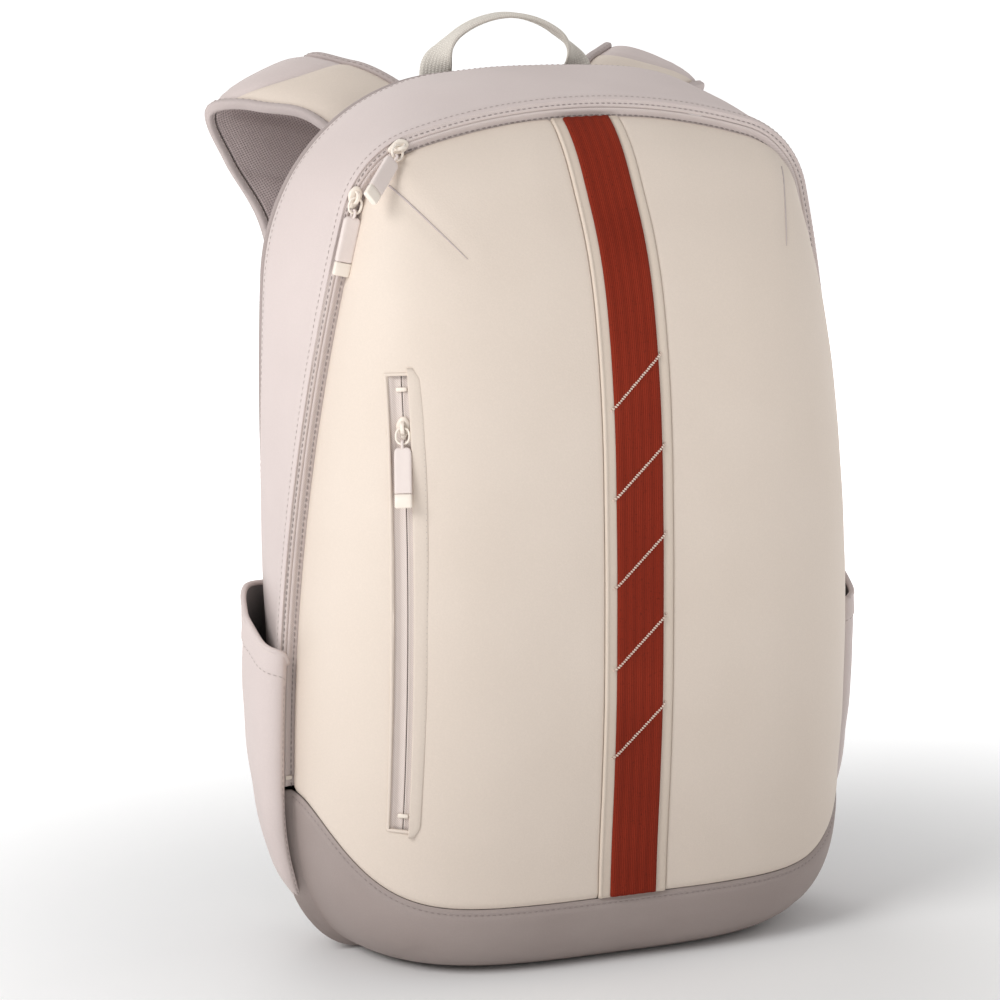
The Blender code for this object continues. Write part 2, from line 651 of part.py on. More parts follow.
def slider(name, seat, run, out, hang, lift_axis, pivot):
    """A slider plate with its bail, and its puller: ring, grip and cap, hanging along `hang`."""
    across = out
    plate = []
    for t, wide in ((-0.0062, 0.0024), (-0.0048, 0.0037), (0.0, 0.0040), (0.0040, 0.0034), (0.0062, 0.0020)):
        plate.append([seat + run * t + across * a * wide + lift_axis * b for a, b in
                      ((-1, 0.0), (1, 0.0), (0.85, 0.0018), (-0.85, 0.0018))])
    body = solid(name + "_slider", "cream_hard", *tube(plate), origin=pivot)
    side = hang.cross(lift_axis).normalized()
    up = side.cross(hang).normalized()
    up = up if up.dot(lift_axis) > 0 else -up
    eye = seat + lift_axis * 0.0035
    bail = solid("bail", "cream_hard", *hoop(eye, hang, up, 0.0023, 0.0020, 0.0008, 14, 6), origin=pivot)
    modify(body, bail, "UNION")
    # the ring passes through the bail and through the grip's own hoop
    start = eye + up * 0.0
    ring_centre = start + hang * (RING_LONG - 0.0002)
    solid(name + "_ring", "cream_hard", *hoop(ring_centre, side, hang, RING_HALF, RING_LONG, RING_WIRE, 18, 6),
          origin=eye)
    foot = ring_centre + hang * RING_LONG
    grip_centre = foot + hang * (0.0020 + GRIP[1])
    rings = []
    for t, s in ((-1, 0.72), (-0.86, 1.0), (0.92, 1.0), (1, 0.95)):
        rings.append([grip_centre + hang * GRIP[1] * t + side * a * GRIP[0] * s + up * b * GRIP[2] * s
                      for a, b in ((-1, -0.6), (-0.8, -1), (0.8, -1), (1, -0.6), (1, 0.6), (0.8, 1), (-0.8, 1),
                                   (-1, 0.6))])
    grip = solid(name + "_grip", "grip", *tube(rings), origin=eye)
    loop = solid("loop", "grip", *hoop(foot + hang * 0.0004, hang, up, 0.0021, 0.0019, 0.0007, 14, 6), origin=eye)
    modify(grip, loop, "UNION")
    cap_centre = grip_centre + hang * (GRIP[1] + GAP + CAP_LONG)
    rings = []
    for t, s in ((-1, 0.96), (0.8, 1.0), (1, 0.86)):
        rings.append([cap_centre + hang * CAP_LONG * t + side * a * GRIP[0] * s + up * b * GRIP[2] * s
                      for a, b in ((-1, -0.6), (-0.8, -1), (0.8, -1), (1, -0.6), (1, 0.6), (0.8, 1), (-0.8, 1),
                                   (-1, 0.6))])
    solid(name + "_cap", "cream_hard", *tube(rings), origin=eye)


SIDE_PARK = SIDE_START + 0.0080 / (EDGE_SIDE_R + ZIP_CENTRE)
TOP_PARK = pi - TOP_END + 0.0085 / (EDGE_TOP_R + ZIP_CENTRE)
PLATE_LIFT = 0.0004
POCKET_PARK = 0.028          # pocket slider's distance below the slot's top


def build_sliders(track):
    seat, out, down = side_arc(SIDE_PARK, PLATE_LIFT)
    hang = (down - out * 0.02 + PLANE_OUT * 0.03).normalized()
    slider("side_zip", seat, down, out, hang, PLANE_OUT, in_plane(-SIDE_C[0], SIDE_C[1], 0))
    seat, out, down = top_arc(TOP_PARK, PLATE_LIFT)
    hang = (Vector((-sin(radians(50)), 0, 0)) - PLANE_UP * cos(radians(50)) + PLANE_OUT * 0.65).normalized()
    slider("top_zip", seat, down, out, hang, PLANE_OUT, in_plane(TOP_C[0], TOP_C[1], 0))
    angle = -track[4] + POCKET_PARK / track[1]
    seat = on_track(track, angle, 0.0, -POCKET_SINK + 0.0015)
    down, across, radial = track_axes(track, angle)
    hang = (down + radial * 0.18).normalized()
    slider("pocket", seat, down, across, hang, radial, track[0])


# ---------------------------------------------------------------- gusset, base, back
def back_half_line(n_counts=LINE_COUNTS, foot_z=SEAM_CORNER_Z):
    """The back's outline above the base seam, sampled like the panel's edge, -X corner to +X corner."""
    outline = [p for p in back_line(0.0, (30, 30, 60, 20, 20)) if p[0] >= 0 and p[1] >= foot_z]
    outline.sort(key=lambda p: (-p[1], p[0]))
    last = outline[-1]
    outline.append((last[0], foot_z))
    edge = [Vector(p) for p in edge_line(ZIP_BAND, n_counts) if p[0] >= 0]
    lengths = [0.0]
    for a, b in zip(edge, edge[1:]):
        lengths.append(lengths[-1] + (b - a).length)
    half = [along(outline, s / lengths[-1]) for s in lengths]
    return [Vector((-p[0], p[1])) for p in half[:0:-1]] + half


SIDE_STEPS = 6


def gusset_rows(foot_z=SEAM_CORNER_Z + 0.0006):
    """Cross curves of the gusset, one for each point along the opening, from the zip to the back."""
    front = edge_line(ZIP_BAND, LINE_COUNTS, foot_z)
    back = back_half_line(foot_z=foot_z)
    rows = []
    for i, ((x, w), q) in enumerate(zip(front, back)):
        a = in_plane(x, w, -0.0002)
        b = Vector((q[0], BACK_Y, q[1]))
        out = Vector((q[0], 0, max(q[1] - 0.30, 0) * 0.9))
        out = Vector((a.x - 0.0, 0, 0)).lerp(out, 0.5) if abs(a.x) > 0.14 else out
        out.normalize()
        row = []
        for k in range(SIDE_STEPS + 1):
            t = k / SIDE_STEPS
            row.append(a.lerp(b, t) + out * GUSSET_BULGE * sin(pi * t) ** 0.8)
        rows.append(row)
    return rows


CORNER_INDEX = 2 * COLUMNS + 2


def base_rim():
    """The base's rim, closed, from the -X corner along the front to the +X corner and round the back."""
    inner = STRIP_HALF + GAP
    half = [front_point(sin(j / COLUMNS * pi / 2), 0.0, inner) for j in range(COLUMNS + 1)]
    half[-1] = Vector((EDGE_HALF + GAP, half[-1].y, SEAM_CORNER_Z))
    middle = strip_surface(0.0, SEAM_FRONT_Z)
    ring = [Vector((-p.x, p.y, p.z)) for p in reversed(half)] + [middle] + half
    side = gusset_rows(SEAM_CORNER_Z)[-1]
    side = [Vector((p.x, min(p.y, BACK_Y - 0.0012), SEAM_CORNER_Z)) for p in side]
    ring += side
    last = ring[-1]
    for t in (0.96, 0.6, 0.2, -0.2, -0.6, -0.96):
        ring.append(Vector((last.x * t, BACK_Y - 0.0006 - 0.0006 * abs(t), SEAM_CORNER_Z)))
    ring += [Vector((-p.x, p.y, p.z)) for p in reversed(side)]
    for p in ring:
        p.z -= GAP * (1 + 3 * min(abs(p.x) / EDGE_HALF, 1) ** 16)
    return ring


def base_floor(ring):
    """Where the flat floor ends under each point of the rim."""
    floor = []
    for p in ring:
        x_room = EDGE_HALF + ZIP_BAND - BASE_FLOOR_INSET
        x = p.x * x_room / (EDGE_HALF + ZIP_BAND)
        lowest = plane_y(0) - 0.093 + 0.030
        t = (p.y + 0.066) / (BACK_Y + 0.066)
        y = mix(lowest + 0.0, BACK_Y - BASE_BACK_INSET, min(max(t, 0), 1))
        floor.append(Vector((x, y, 0.0)))
    return floor


BASE_STEPS = 8
BOARD_HALF, BOARD_Y, BOARD_THICK = (0.098, 0.040), 0.017, 0.003


def base_curve(rim, floor, step):
    """Point of the rounding between the rim (1) and the floor (0)."""
    a = step * pi / 2
    wide = sin(a) ** (2 / BASE_ROUND)
    high = 1 - cos(a) ** (2 / BASE_ROUND)
    return Vector((mix(floor.x, rim.x, wide), mix(floor.y, rim.y, wide), rim.z * high))


def cup(inset):
    """The base as a grid of rings from the floor to the rim, moved inwards."""
    ring = base_rim()
    floor = base_floor(ring)
    count = len(ring)
    grid = [[] for _ in range(BASE_STEPS + 1)]
    for j, (rim, low) in enumerate(zip(ring, floor)):
        run = (ring[(j + 1) % count] - ring[j - 1])
        inward = Vector((-run.y, run.x, 0)).normalized() * inset
        for s in range(BASE_STEPS + 1):
            p = base_curve(rim + inward, low + inward, s / BASE_STEPS)
            p.z = inset + p.z * (rim.z - inset) / rim.z
            grid[s].append(p)
    return grid


def build_base():
    outer, inner = cup(0.0), cup(BASE_WALL)
    cols = len(outer[0])
    verts, faces = [], []
    layers = [outer, inner]
    for layer in layers:
        for row in layer:
            verts += row
    rows = len(outer)
    size = rows * cols
    for layer in (0, 1):
        for i in range(rows - 1):
            for j in range(cols):
                k = (j + 1) % cols
                faces.append([layer * size + i * cols + j, layer * size + i * cols + k,
                              layer * size + (i + 1) * cols + k, layer * size + (i + 1) * cols + j])
        faces.append([layer * size + j for j in range(cols)])
    for j in range(cols):
        k = (j + 1) % cols
        faces.append([(rows - 1) * cols + j, (rows - 1) * cols + k, size + (rows - 1) * cols + k,
                      size + (rows - 1) * cols + j])
    solid("base_tub", "dark_taupe", verts, faces)
    verts, faces = [], []
    for z in (BASE_WALL + GAP, BASE_WALL + GAP + BOARD_THICK):
        for k in range(28):
            t = 2 * pi * k / 28
            c, s = cos(t), sin(t)
            verts.append(Vector((BOARD_HALF[0] * abs(c) ** 0.55 * (1 if c > 0 else -1),
                                 BOARD_Y + BOARD_HALF[1] * abs(s) ** 0.7 * (1 if s > 0 else -1), z)))
    faces = [list(range(28)), list(range(28, 56))]
    faces += [[k, (k + 1) % 28, 28 + (k + 1) % 28, 28 + k] for k in range(28)]
    solid("base_board", "board", verts, faces)


def build_gusset():
    rows = gusset_rows()
    solid("gusset", "taupe", *thick(rows, FABRIC, turn=turn_of(rows)))


def turn_of(rows):
    """1 if the grid's normals already point away from the bag's middle."""
    n = normals(rows)
    i, j = len(rows) // 2, len(rows[0]) // 2
    return 1 if n[i][j].dot(rows[i][j] - Vector((0, 0.03, 0.25))) > 0 else -1


def plate(outline, y0, y1):
    """A flat plate between two depths."""
    n = len(outline)
    verts = [Vector((x, y0, z)) for x, z in outline] + [Vector((x, y1, z)) for x, z in outline]
    faces = [list(range(n)), list(range(n, 2 * n))]
    faces += [[k, (k + 1) % n, n + (k + 1) % n, n + k] for k in range(n)]
    return verts, faces


def shrink(outline, k, centre):
    return [(centre[0] + (x - centre[0]) * k, centre[1] + (z - centre[1]) * k) for x, z in outline]


BACK_PANEL_Y = 0.0832
BACK_PAD = 0.0100
BACK_CHANNEL = 0.0040


def build_back():
    loop = [Vector((x, BACK_Y + 0.0034, z)) for x, z in back_line(-0.0008)]
    solid("back_piping", "taupe", *sweep(loop, [Vector((0, 1, 0))] * len(loop), round_section(0.0024, 0.0024, 6),
                                         True))
    # padded panel against the wearer's back, with a channel down the middle
    outline = back_line(-0.0030, (6, 6, 12, 6, 6))
    centre = (0.0, 0.245)
    rings = []
    for k, rise in ((1.0, 0.0), (1.0, 0.27), (0.985, 0.5), (0.95, 0.77), (0.88, 0.95), (0.76, 1.0), (0.5, 1.0),
                    (0.25, 1.0)):
        ring = []
        for x, z in shrink(outline, k, centre):
            dip = BACK_CHANNEL * max(1 - (x / 0.018) ** 2, 0) if rise > 0.9 and z < 0.42 else 0.0
            ring.append(Vector((x, BACK_PANEL_Y + BACK_PAD * rise - dip, z)))
        rings.append(ring)
    solid("back_panel", "mesh", *tube(rings))
    solid("frame_sheet", "board", *plate(shrink(back_line(-0.004, (6, 6, 10, 5, 5)), 0.90, (0, 0.262)),
                                         0.0700, 0.0711))


SLEEVE_HALF, SLEEVE_TOP, SLEEVE_FOOT = 0.133, 0.345, 0.034
SLEEVE_Y = (0.0440, 0.0480, 0.0694)


def build_sleeve():
    """Padded laptop sleeve: a front wall with two side walls and a floor against the frame sheet, open on top."""
    wall = 0.004
    front, inside, back = SLEEVE_Y
    h, top, foot = SLEEVE_HALF, SLEEVE_TOP, SLEEVE_FOOT
    outer = [(-h, foot), (h, foot), (h, top), (-h, top)]
    pocket = [(-h + wall, foot + wall), (h - wall, foot + wall), (h - wall, top), (-h + wall, top)]
    verts = [Vector((x, front, z)) for x, z in outer] + [Vector((x, back, z)) for x, z in outer]
    verts += [Vector((x, inside, z)) for x, z in pocket] + [Vector((x, back, z)) for x, z in pocket]
    faces = [[0, 1, 2, 3], [0, 4, 5, 1], [0, 3, 7, 4], [1, 5, 6, 2],
             [8, 9, 10, 11], [8, 12, 13, 9], [8, 11, 15, 12], [9, 13, 14, 10],
             [4, 5, 13, 12], [4, 12, 15, 7], [5, 6, 14, 13],
             [3, 2, 10, 11], [3, 11, 15, 7], [2, 6, 14, 10]]
    solid("laptop_sleeve", "lining", verts, faces)


# ---------------------------------------------------------------- side pockets
def side_columns():
    """The bag's side under a pocket: for each step from front to back, points from the foot to above the mouth."""
    rows = gusset_rows(SEAM_CORNER_Z)
    ring = base_rim()
    floor = base_floor(ring)
    right = rows[len(rows) // 2:]
    edge = edge_line(ZIP_CENTRE + 0.0007, foot_z=SEAM_CORNER_Z)
    columns = []
    for k in range(-1, SIDE_STEPS + 1):
        at = CORNER_INDEX + 1 + k
        low = [base_curve(ring[at], floor[at], s / 20) for s in range(2, 21)]
        if k < 0:
            shift = Vector((ZIP_CENTRE, 0, 0))
            low = [p + shift for p in low]
            high = [in_plane(x, w, 0.0006) for x, w in reversed(edge[len(edge) // 2:])]
        else:
            high = [row[k] for row in reversed(right)]
        columns.append(low[:-1] + high)
    return columns


def at_height(column, z):
    for a, b in zip(column, column[1:]):
        if a.z <= z <= b.z:
            return a.lerp(b, (z - a.z) / (b.z - a.z))
    return column[0].copy() if z < column[0].z else column[-1].copy()


POCKET_ROWS = 12


def pocket_grid():
    """The bag's surface under the +X pocket, rows from the foot to the mouth."""
    columns = side_columns()
    grid = []
    for i in range(POCKET_ROWS + 1):
        v = i / POCKET_ROWS
        row = []
        for k in range(SIDE_STEPS + 2):
            a = k / (SIDE_STEPS + 1)
            mouth = mix(POCKET_FRONT_Z, POCKET_BACK_Z, min(1.25 * a, 1) ** 0.8)
            z = mix(POCKET_FOOT_Z, mouth, v)
            row.append(at_height(columns[k], z))
        grid.append(row)
    return grid


def build_side_pockets():
    grid = pocket_grid()
    n = normals(grid)
    skin, lining = [], []
    for i, (row, nrow) in enumerate(zip(grid, n)):
        v = i / POCKET_ROWS
        a_row, b_row = [], []
        for k, (p, q) in enumerate(zip(row, nrow)):
            a = k / (SIDE_STEPS + 1)
            q = q if q.x > 0 else -q
            puff = POCKET_STAND_OFF * sin(pi * min(max(a, 0), 1)) ** 0.7 * sin(pi / 2 * min(v * 1.5, 1)) ** 0.8
            a_row.append(p + q * (0.0012 + FABRIC + puff))
            b_row.append(p + q * (0.0012 + puff))
        skin.append(a_row)
        lining.append(b_row)
    verts, faces = sheet(skin, lining)
    solid("side_pocket_right", "taupe", verts, faces)
    solid("side_pocket_left", "taupe", [Vector((-p.x, p.y, p.z)) for p in verts], faces)
    for name, sign in (("side_pocket_hem_right", 1), ("side_pocket_hem_left", -1)):
        rim = [(a + b) / 2 for a, b in zip(skin[-1], lining[-1])]
        path = [Vector((sign * p.x, p.y, p.z + 0.0026 + GAP)) for p in rim]
        solid(name, "taupe", *sweep(path, [Vector((sign, 0, 0))] * len(path), round_section(0.0014, 0.0012, 6)))


# ---------------------------------------------------------------- straps and handle
def smooth_path(points, n):
    """A Catmull-Rom curve through points, resampled evenly."""
    pts = [Vector(p) for p in points]
    dense = []
    for i in range(len(pts) - 1):
        p0 = pts[i - 1] if i else pts[0] * 2 - pts[1]
        p1, p2 = pts[i], pts[i + 1]
        p3 = pts[i + 2] if i + 2 < len(pts) else p2 * 2 - p1
        for k in range(12):
            t = k / 12
            dense.append(0.5 * (2 * p1 + (p2 - p0) * t + (2 * p0 - 5 * p1 + 4 * p2 - p3) * t * t
                                + (3 * p1 - 3 * p2 + p3 - p0) * t ** 3))
    dense.append(pts[-1])
    return resample(dense, n)


# the strap's middle line, from its seam on the back panel over the crest and down, (x, y, z)
STRAP_LINE = [(0.062, 0.1050, 0.422), (0.066, 0.1080, 0.444), (0.083, 0.1210, 0.4600), (0.106, 0.1420, 0.4690),
              (0.1240, 0.1600, 0.4680), (0.1080, 0.1740, 0.4400), (0.0860, 0.1820, 0.4050), (0.0750, 0.1860, 0.3500),
              (0.0740, 0.1850, 0.2900), (0.0820, 0.1780, 0.2300)]
STRAP_STEPS = 30
# direction across the strap, towards the bag's outside, at the same places
STRAP_SIDES = [(1, 0, 0.00), (1, 0, -0.10), (0.95, -0.05, -0.30), (0.90, 0.00, -0.44), (0.90, -0.02, -0.44),
               (0.88, -0.15, -0.42), (0.86, -0.30, -0.34), (0.92, -0.30, -0.18), (0.97, -0.15, -0.06), (1, 0, 0.0)]


def strap_frames():
    path = smooth_path(STRAP_LINE, STRAP_STEPS)
    sides = []
    for i in range(STRAP_STEPS + 1):
        s = i / STRAP_STEPS * (len(STRAP_SIDES) - 1)
        k = min(int(s), len(STRAP_SIDES) - 2)
        sides.append(Vector(STRAP_SIDES[k]).lerp(Vector(STRAP_SIDES[k + 1]), s - k).normalized())
    return path, sides


def strap_width(i):
    """Half width of the strap along its length: full, then tapering to the webbing."""
    t = i / STRAP_STEPS
    return STRAP_WIDTH / 2 * (1.0 if t < 0.62 else mix(1.0, 0.62, (t - 0.62) / 0.38))


def flip(verts, sign):
    return [Vector((sign * p.x, p.y, p.z)) for p in verts]


def strap_section(half, low, high):
    return [(-half, low), (-half * 0.96, high * 0.7), (-half * 0.80, high), (half * 0.80, high),
            (half * 0.96, high * 0.7), (half, low), (half * 0.9, low - 0.001), (-half * 0.9, low - 0.001)]


def build_straps():
    path, sides = strap_frames()
    pivot = Vector(STRAP_LINE[0])
    pads, linings = [], []
    for i in range(STRAP_STEPS + 1):
        half = strap_width(i)
        pads.append(strap_section(half - 0.0012, 0.0010, STRAP_THICK - 0.002))
        linings.append([(-half + 0.002, -0.0022), (half - 0.002, -0.0022), (half - 0.002, -0.0006),
                        (-half + 0.002, -0.0006)])
    for name, sign in (("right", 1), ("left", -1)):
        origin = Vector((sign * pivot.x, pivot.y, pivot.z))
        verts, faces = sweep(path, sides, pads, shear=True)
        solid("shoulder_strap_" + name, "cream", flip(verts, sign), faces, origin=origin)
        verts, faces = sweep(path, sides, linings, shear=True)
        solid("strap_mesh_" + name, "mesh", flip(verts, sign), faces, origin=origin)
        rim, rim_sides = binding_path(path, sides)
        verts, faces = sweep(rim, rim_sides, round_section(0.0026, 0.0016, 6))
        solid("strap_binding_" + name, "taupe", flip(verts, sign), faces, origin=origin)
    build_strap_ends(path, sides, origin=pivot)


def binding_path(path, sides):
    """Down one edge of the strap, round its lower end and back up the other edge."""
    def edge(i, k):
        ahead = path[min(i + 1, STRAP_STEPS)] - path[max(i - 1, 0)]
        forward = ahead.normalized()
        side = sides[i]
        up = side.cross(forward).normalized()
        return path[i] + side * k * (strap_width(i) + 0.0010) + up * 0.0018, up, forward

    points, ups = [], []
    for i in range(0, STRAP_STEPS):
        p, up, _ = edge(i, -1)
        points.append(p)
        ups.append(up)
    for k in (-1, -0.6, 0.0, 0.6, 1):
        p, up, forward = edge(STRAP_STEPS, k)
        points.append(p + forward * 0.0040)
        ups.append(up)
    for i in range(STRAP_STEPS - 1, -1, -1):
        p, up, _ = edge(i, 1)
        points.append(p)
        ups.append(up)
    return points, ups


LOCK_HALF, LOCK_LONG, LOCK_THICK = 0.0185, 0.0150, 0.0018
FOLD = 0.0044                # radius at which webbing folds round a bar of the ladder lock
WEB_SECTION = [(-WEB_WIDTH / 2, -WEB_THICK / 2), (WEB_WIDTH / 2, -WEB_THICK / 2),
               (WEB_WIDTH / 2, WEB_THICK / 2), (-WEB_WIDTH / 2, WEB_THICK / 2)]


def build_strap_ends(path, sides, origin):
    end, before = path[-1], path[-2]
    down = (end - before).normalized()
    side = Vector((1, 0, 0))
    up = side.cross(down).normalized()
    lock_centre = end + down * 0.030 + up * 0.0008
    for name, sign in (("right", 1), ("left", -1)):
        pivot = lock_centre - down * 0.0110
        mirrored_pivot = Vector((sign * pivot.x, pivot.y, pivot.z))
        strap_pivot = Vector((sign * origin.x, origin.y, origin.z))
        # the strap's own short webbing, folded round the lock's upper bar
        bar = lock_centre - down * (LOCK_LONG - 0.0023)
        loop = [end + down * 0.0075 + up * 0.0040, bar - down * 0.002 + up * FOLD]
        loop += [bar + up * FOLD * cos(t) + down * FOLD * sin(t) for t in (0.4, 0.9, 1.57, 2.2, 2.75)]
        loop += [bar - down * 0.002 - up * FOLD, end + down * 0.0075 - up * 0.0030]
        verts, faces = sweep(loop, [side] * len(loop), WEB_SECTION)
        solid("strap_web_" + name, "cream", flip(verts, sign), faces, origin=strap_pivot)
        verts, faces = block(lock_centre, (side, down, up), (LOCK_HALF, LOCK_LONG, LOCK_THICK))
        lock = solid("ladder_lock_" + name, "cream_hard", flip(verts, sign), faces, origin=mirrored_pivot)
        for place in (-0.0072, 0.0066):
            verts, faces = block(lock_centre + down * place, (side, down, up), (0.0140, 0.0032, 0.01))
            modify(lock, solid("cutter", "cream_hard", flip(verts, sign), faces, origin=mirrored_pivot), "DIFFERENCE")
        # webbing from the base's corner up through the lock, its tail hanging behind
        bar = lock_centre + down * (LOCK_LONG - 0.0026)
        foot = Vector((0.136, BACK_Y + 0.0300, 0.052))
        line = smooth_path([Vector((0.1180, BACK_PANEL_Y + 0.0140, 0.034)), foot, Vector((0.127, 0.142, 0.100)),
                            bar + down * 0.040 - up * 0.006, bar + down * 0.004 - up * FOLD], 16)
        line += [bar - up * FOLD * cos(t) - down * FOLD * sin(t) for t in (0.4, 0.9, 1.57, 2.2, 2.75)]
        line += [bar + down * 0.003 + up * FOLD, bar + down * 0.026 + up * 0.009, bar + down * 0.055 + up * 0.011]
        verts, faces = sweep(line, [side] * len(line), WEB_SECTION)
        solid("lower_webbing_" + name, "cream", flip(verts, sign), faces)


HANDLE_FOOT, HANDLE_PEAK, HANDLE_STEPS = 0.0440, 0.5095, 40
HANDLE_Y = 0.0985


def build_handle():
    """Webbing loop: its feet lie flat against the back panel, its middle is folded narrow for the hand."""
    path, sides, sections = [], [], []
    bend_z = 0.4740
    for i in range(HANDLE_STEPS + 1):
        t = -1 + 2 * i / HANDLE_STEPS
        across = min(abs(t) / 0.80, 1)
        x = HANDLE_FOOT * sin(across * pi / 2) ** 1.1 * (1 if t > 0 else -1)
        if abs(t) < 0.80:
            z = bend_z + (HANDLE_PEAK - bend_z) * cos(across * pi / 2) ** 0.9
        else:
            z = mix(bend_z, bend_z - 0.012, (abs(t) - 0.80) / 0.20)
        path.append(Vector((x, HANDLE_Y, z)))
        fold = min(max((z - 0.476) / 0.024, 0), 1)
        fold = fold * fold * (3 - 2 * fold)
        turn = fold * pi / 2 * (1 if t < 0 else -1)
        sides.append(Vector((cos(turn), abs(sin(turn)), 0)) if t <= 0 else Vector((cos(turn), -abs(sin(turn)), 0)))
        half, high = mix(0.0096, 0.0058, fold), mix(0.0009, 0.0016, fold)
        sections.append([(-half, -high), (half, -high), (half, high), (-half, high)])
    rings = []
    for i, (p, side, section) in enumerate(zip(path, sides, sections)):
        forward = (path[min(i + 1, HANDLE_STEPS)] - path[max(i - 1, 0)]).normalized()
        level = Vector((0, 1, 0))
        flat = forward.cross(level).normalized()
        amount = abs(side.y)
        broad = (flat * sqrt(1 - amount * amount) + level * amount).normalized()
        thin = broad.cross(forward)
        rings.append([p + broad * a + thin * b for a, b in section])
    solid("grab_handle", "cream", *tube(rings), origin=(0, HANDLE_Y, bend_z - 0.004))


def main():
    clear_scene()
    find = front_finder()
    track = slot_track(find)
    build_front(find, track)
    build_main_zip()
    build_sliders(track)
    build_gusset()
    build_base()
    build_back()
    build_sleeve()
    build_side_pockets()
    build_straps()
    build_handle()


main()
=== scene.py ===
"""Looks for the racket backpack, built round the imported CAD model."""

import random
from math import sin, cos, pi, atan2, hypot, radians, sqrt, exp

import bpy
import bmesh
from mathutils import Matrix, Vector, noise
from mathutils.bvhtree import BVHTree


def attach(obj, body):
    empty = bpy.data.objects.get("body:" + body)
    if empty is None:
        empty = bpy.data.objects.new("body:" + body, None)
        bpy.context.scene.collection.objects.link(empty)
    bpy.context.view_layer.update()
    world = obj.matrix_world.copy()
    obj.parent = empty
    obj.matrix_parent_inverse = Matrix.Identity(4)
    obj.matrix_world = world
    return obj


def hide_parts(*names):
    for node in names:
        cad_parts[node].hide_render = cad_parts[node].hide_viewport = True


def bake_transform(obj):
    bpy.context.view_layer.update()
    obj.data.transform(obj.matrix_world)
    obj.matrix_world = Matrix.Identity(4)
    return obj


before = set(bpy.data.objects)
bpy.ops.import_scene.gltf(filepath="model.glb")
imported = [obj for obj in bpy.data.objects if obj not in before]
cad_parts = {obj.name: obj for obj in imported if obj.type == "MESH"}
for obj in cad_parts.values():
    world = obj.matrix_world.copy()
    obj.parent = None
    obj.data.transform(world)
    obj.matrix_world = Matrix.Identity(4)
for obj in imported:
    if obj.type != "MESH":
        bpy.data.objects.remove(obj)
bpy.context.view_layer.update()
RANDOM = random.Random(7)

# ---------------------------------------------------------------- dimensions of the frame, metres
FABRIC = 0.0016
TILT, PLANE_Y = 0.061, 0.0282
EDGE_TOP, EDGE_TOP_R = 0.4610, 0.36
EDGE_HALF, EDGE_SIDE_Z, EDGE_SIDE_R = 0.1648, 0.133, 1.2
EDGE_CORNER_R = 0.045
SEAM_CORNER_Z = 0.098
BACK_TOP, BACK_TOP_R = 0.4802, 0.7468
BACK_HALF, BACK_SIDE_Z, BACK_SIDE_R = 0.1574, 0.3049, 1.5273
BACK_CORNER_R = 0.1107
BACK_BOTTOM, BACK_BOTTOM_R, BACK_FOOT_R = 0.012, 0.6, 0.060
BACK_Y = 0.0765
ZIP_CENTRE, ZIP_BAND = 0.0050, 0.0100
TAPE_LIFT, TAPE = -0.0012, 0.0009
GAP = 0.0004      # clearance between neighbouring pieces
CENTRE_PROFILE = [(0.0000, 0.4610), (0.0099, 0.4535), (0.0210, 0.4410), (0.0335, 0.4210), (0.0456, 0.3990),
                  (0.0544, 0.3760), (0.0610, 0.3480), (0.0660, 0.3160), (0.0687, 0.2875), (0.0700, 0.2600),
                  (0.0712, 0.227), (0.0716, 0.194), (0.0714, 0.150), (0.0690, 0.105), (0.0662, 0.0706),
                  (0.0645, 0.040)]
SEAM_FRONT_Z, SEAM_RISE_POWER = 0.040, 8.0
STRIP_HALF, WEBBING_HALF = 0.0205, 0.0140
STITCH_HEIGHTS = [0.3236, 0.2755, 0.2275, 0.1825, 0.1337]
SLOT_TOP, SLOT_FOOT, SLOT_HALF = (-0.1272, 0.332), (-0.1292, 0.086), 0.0070
POCKET_SINK = 0.0042
BASE_FLOOR_INSET, BASE_BACK_INSET, BASE_ROUND, BASE_WALL = 0.060, 0.002, 2.15, 0.0022
GUSSET_BULGE = 0.0065
POCKET_FRONT_Z, POCKET_BACK_Z, POCKET_FOOT_Z, POCKET_STAND_OFF = 0.168, 0.200, 0.034, 0.0115
STRAP_WIDTH, STRAP_THICK = 0.064, 0.011
BACK_PANEL_Y, BACK_PAD = 0.0832, 0.0100
HANDLE_FOOT, HANDLE_PEAK, HANDLE_Y = 0.0440, 0.5095, 0.0985

LEAN = atan2(TILT, 1.0)
PLANE_UP = Vector((0, -sin(LEAN), cos(LEAN)))
PLANE_OUT = Vector((0, -cos(LEAN), -sin(LEAN)))
PLANE_ORIGIN = Vector((0, PLANE_Y, 0))
X = Vector((1, 0, 0))


def mix(a, b, t):
    return a + (b - a) * t


def clamp(t, a=0.0, b=1.0):
    return min(max(t, a), b)


def ease(t):
    t = clamp(t)
    return t * t * (3 - 2 * t)


def bump(d, width):
    """A smooth hill of height 1 at d = 0."""
    return exp(-(d / width) ** 2)


def wave(p, scale, seed=0.0):
    """Smooth noise from about -1 to 1."""
    return noise.noise(Vector((p[0] / scale + seed, p[1] / scale, p[2] / scale - seed)))


# ---------------------------------------------------------------- the bag's own curves
def in_plane(x, w, lift=0.0):
    return PLANE_ORIGIN + Vector((x, 0, 0)) + PLANE_UP * w + PLANE_OUT * lift


def plane_y(z):
    return PLANE_Y - TILT * z


def touching(c1, r1, c2, r2, r, upper):
    a, b = r1 - r, r2 - r
    dx, dz = c2[0] - c1[0], c2[1] - c1[1]
    d = hypot(dx, dz)
    t = (a * a - b * b + d * d) / (2 * d)
    h = sqrt(max(a * a - t * t, 0))
    both = [(c1[0] + t * dx / d - k * h * dz / d, c1[1] + t * dz / d + k * h * dx / d) for k in (1, -1)]
    return max(both, key=lambda q: upper * q[1] + q[0])


def heading(p, c):
    return atan2(p[1] - c[1], p[0] - c[0])


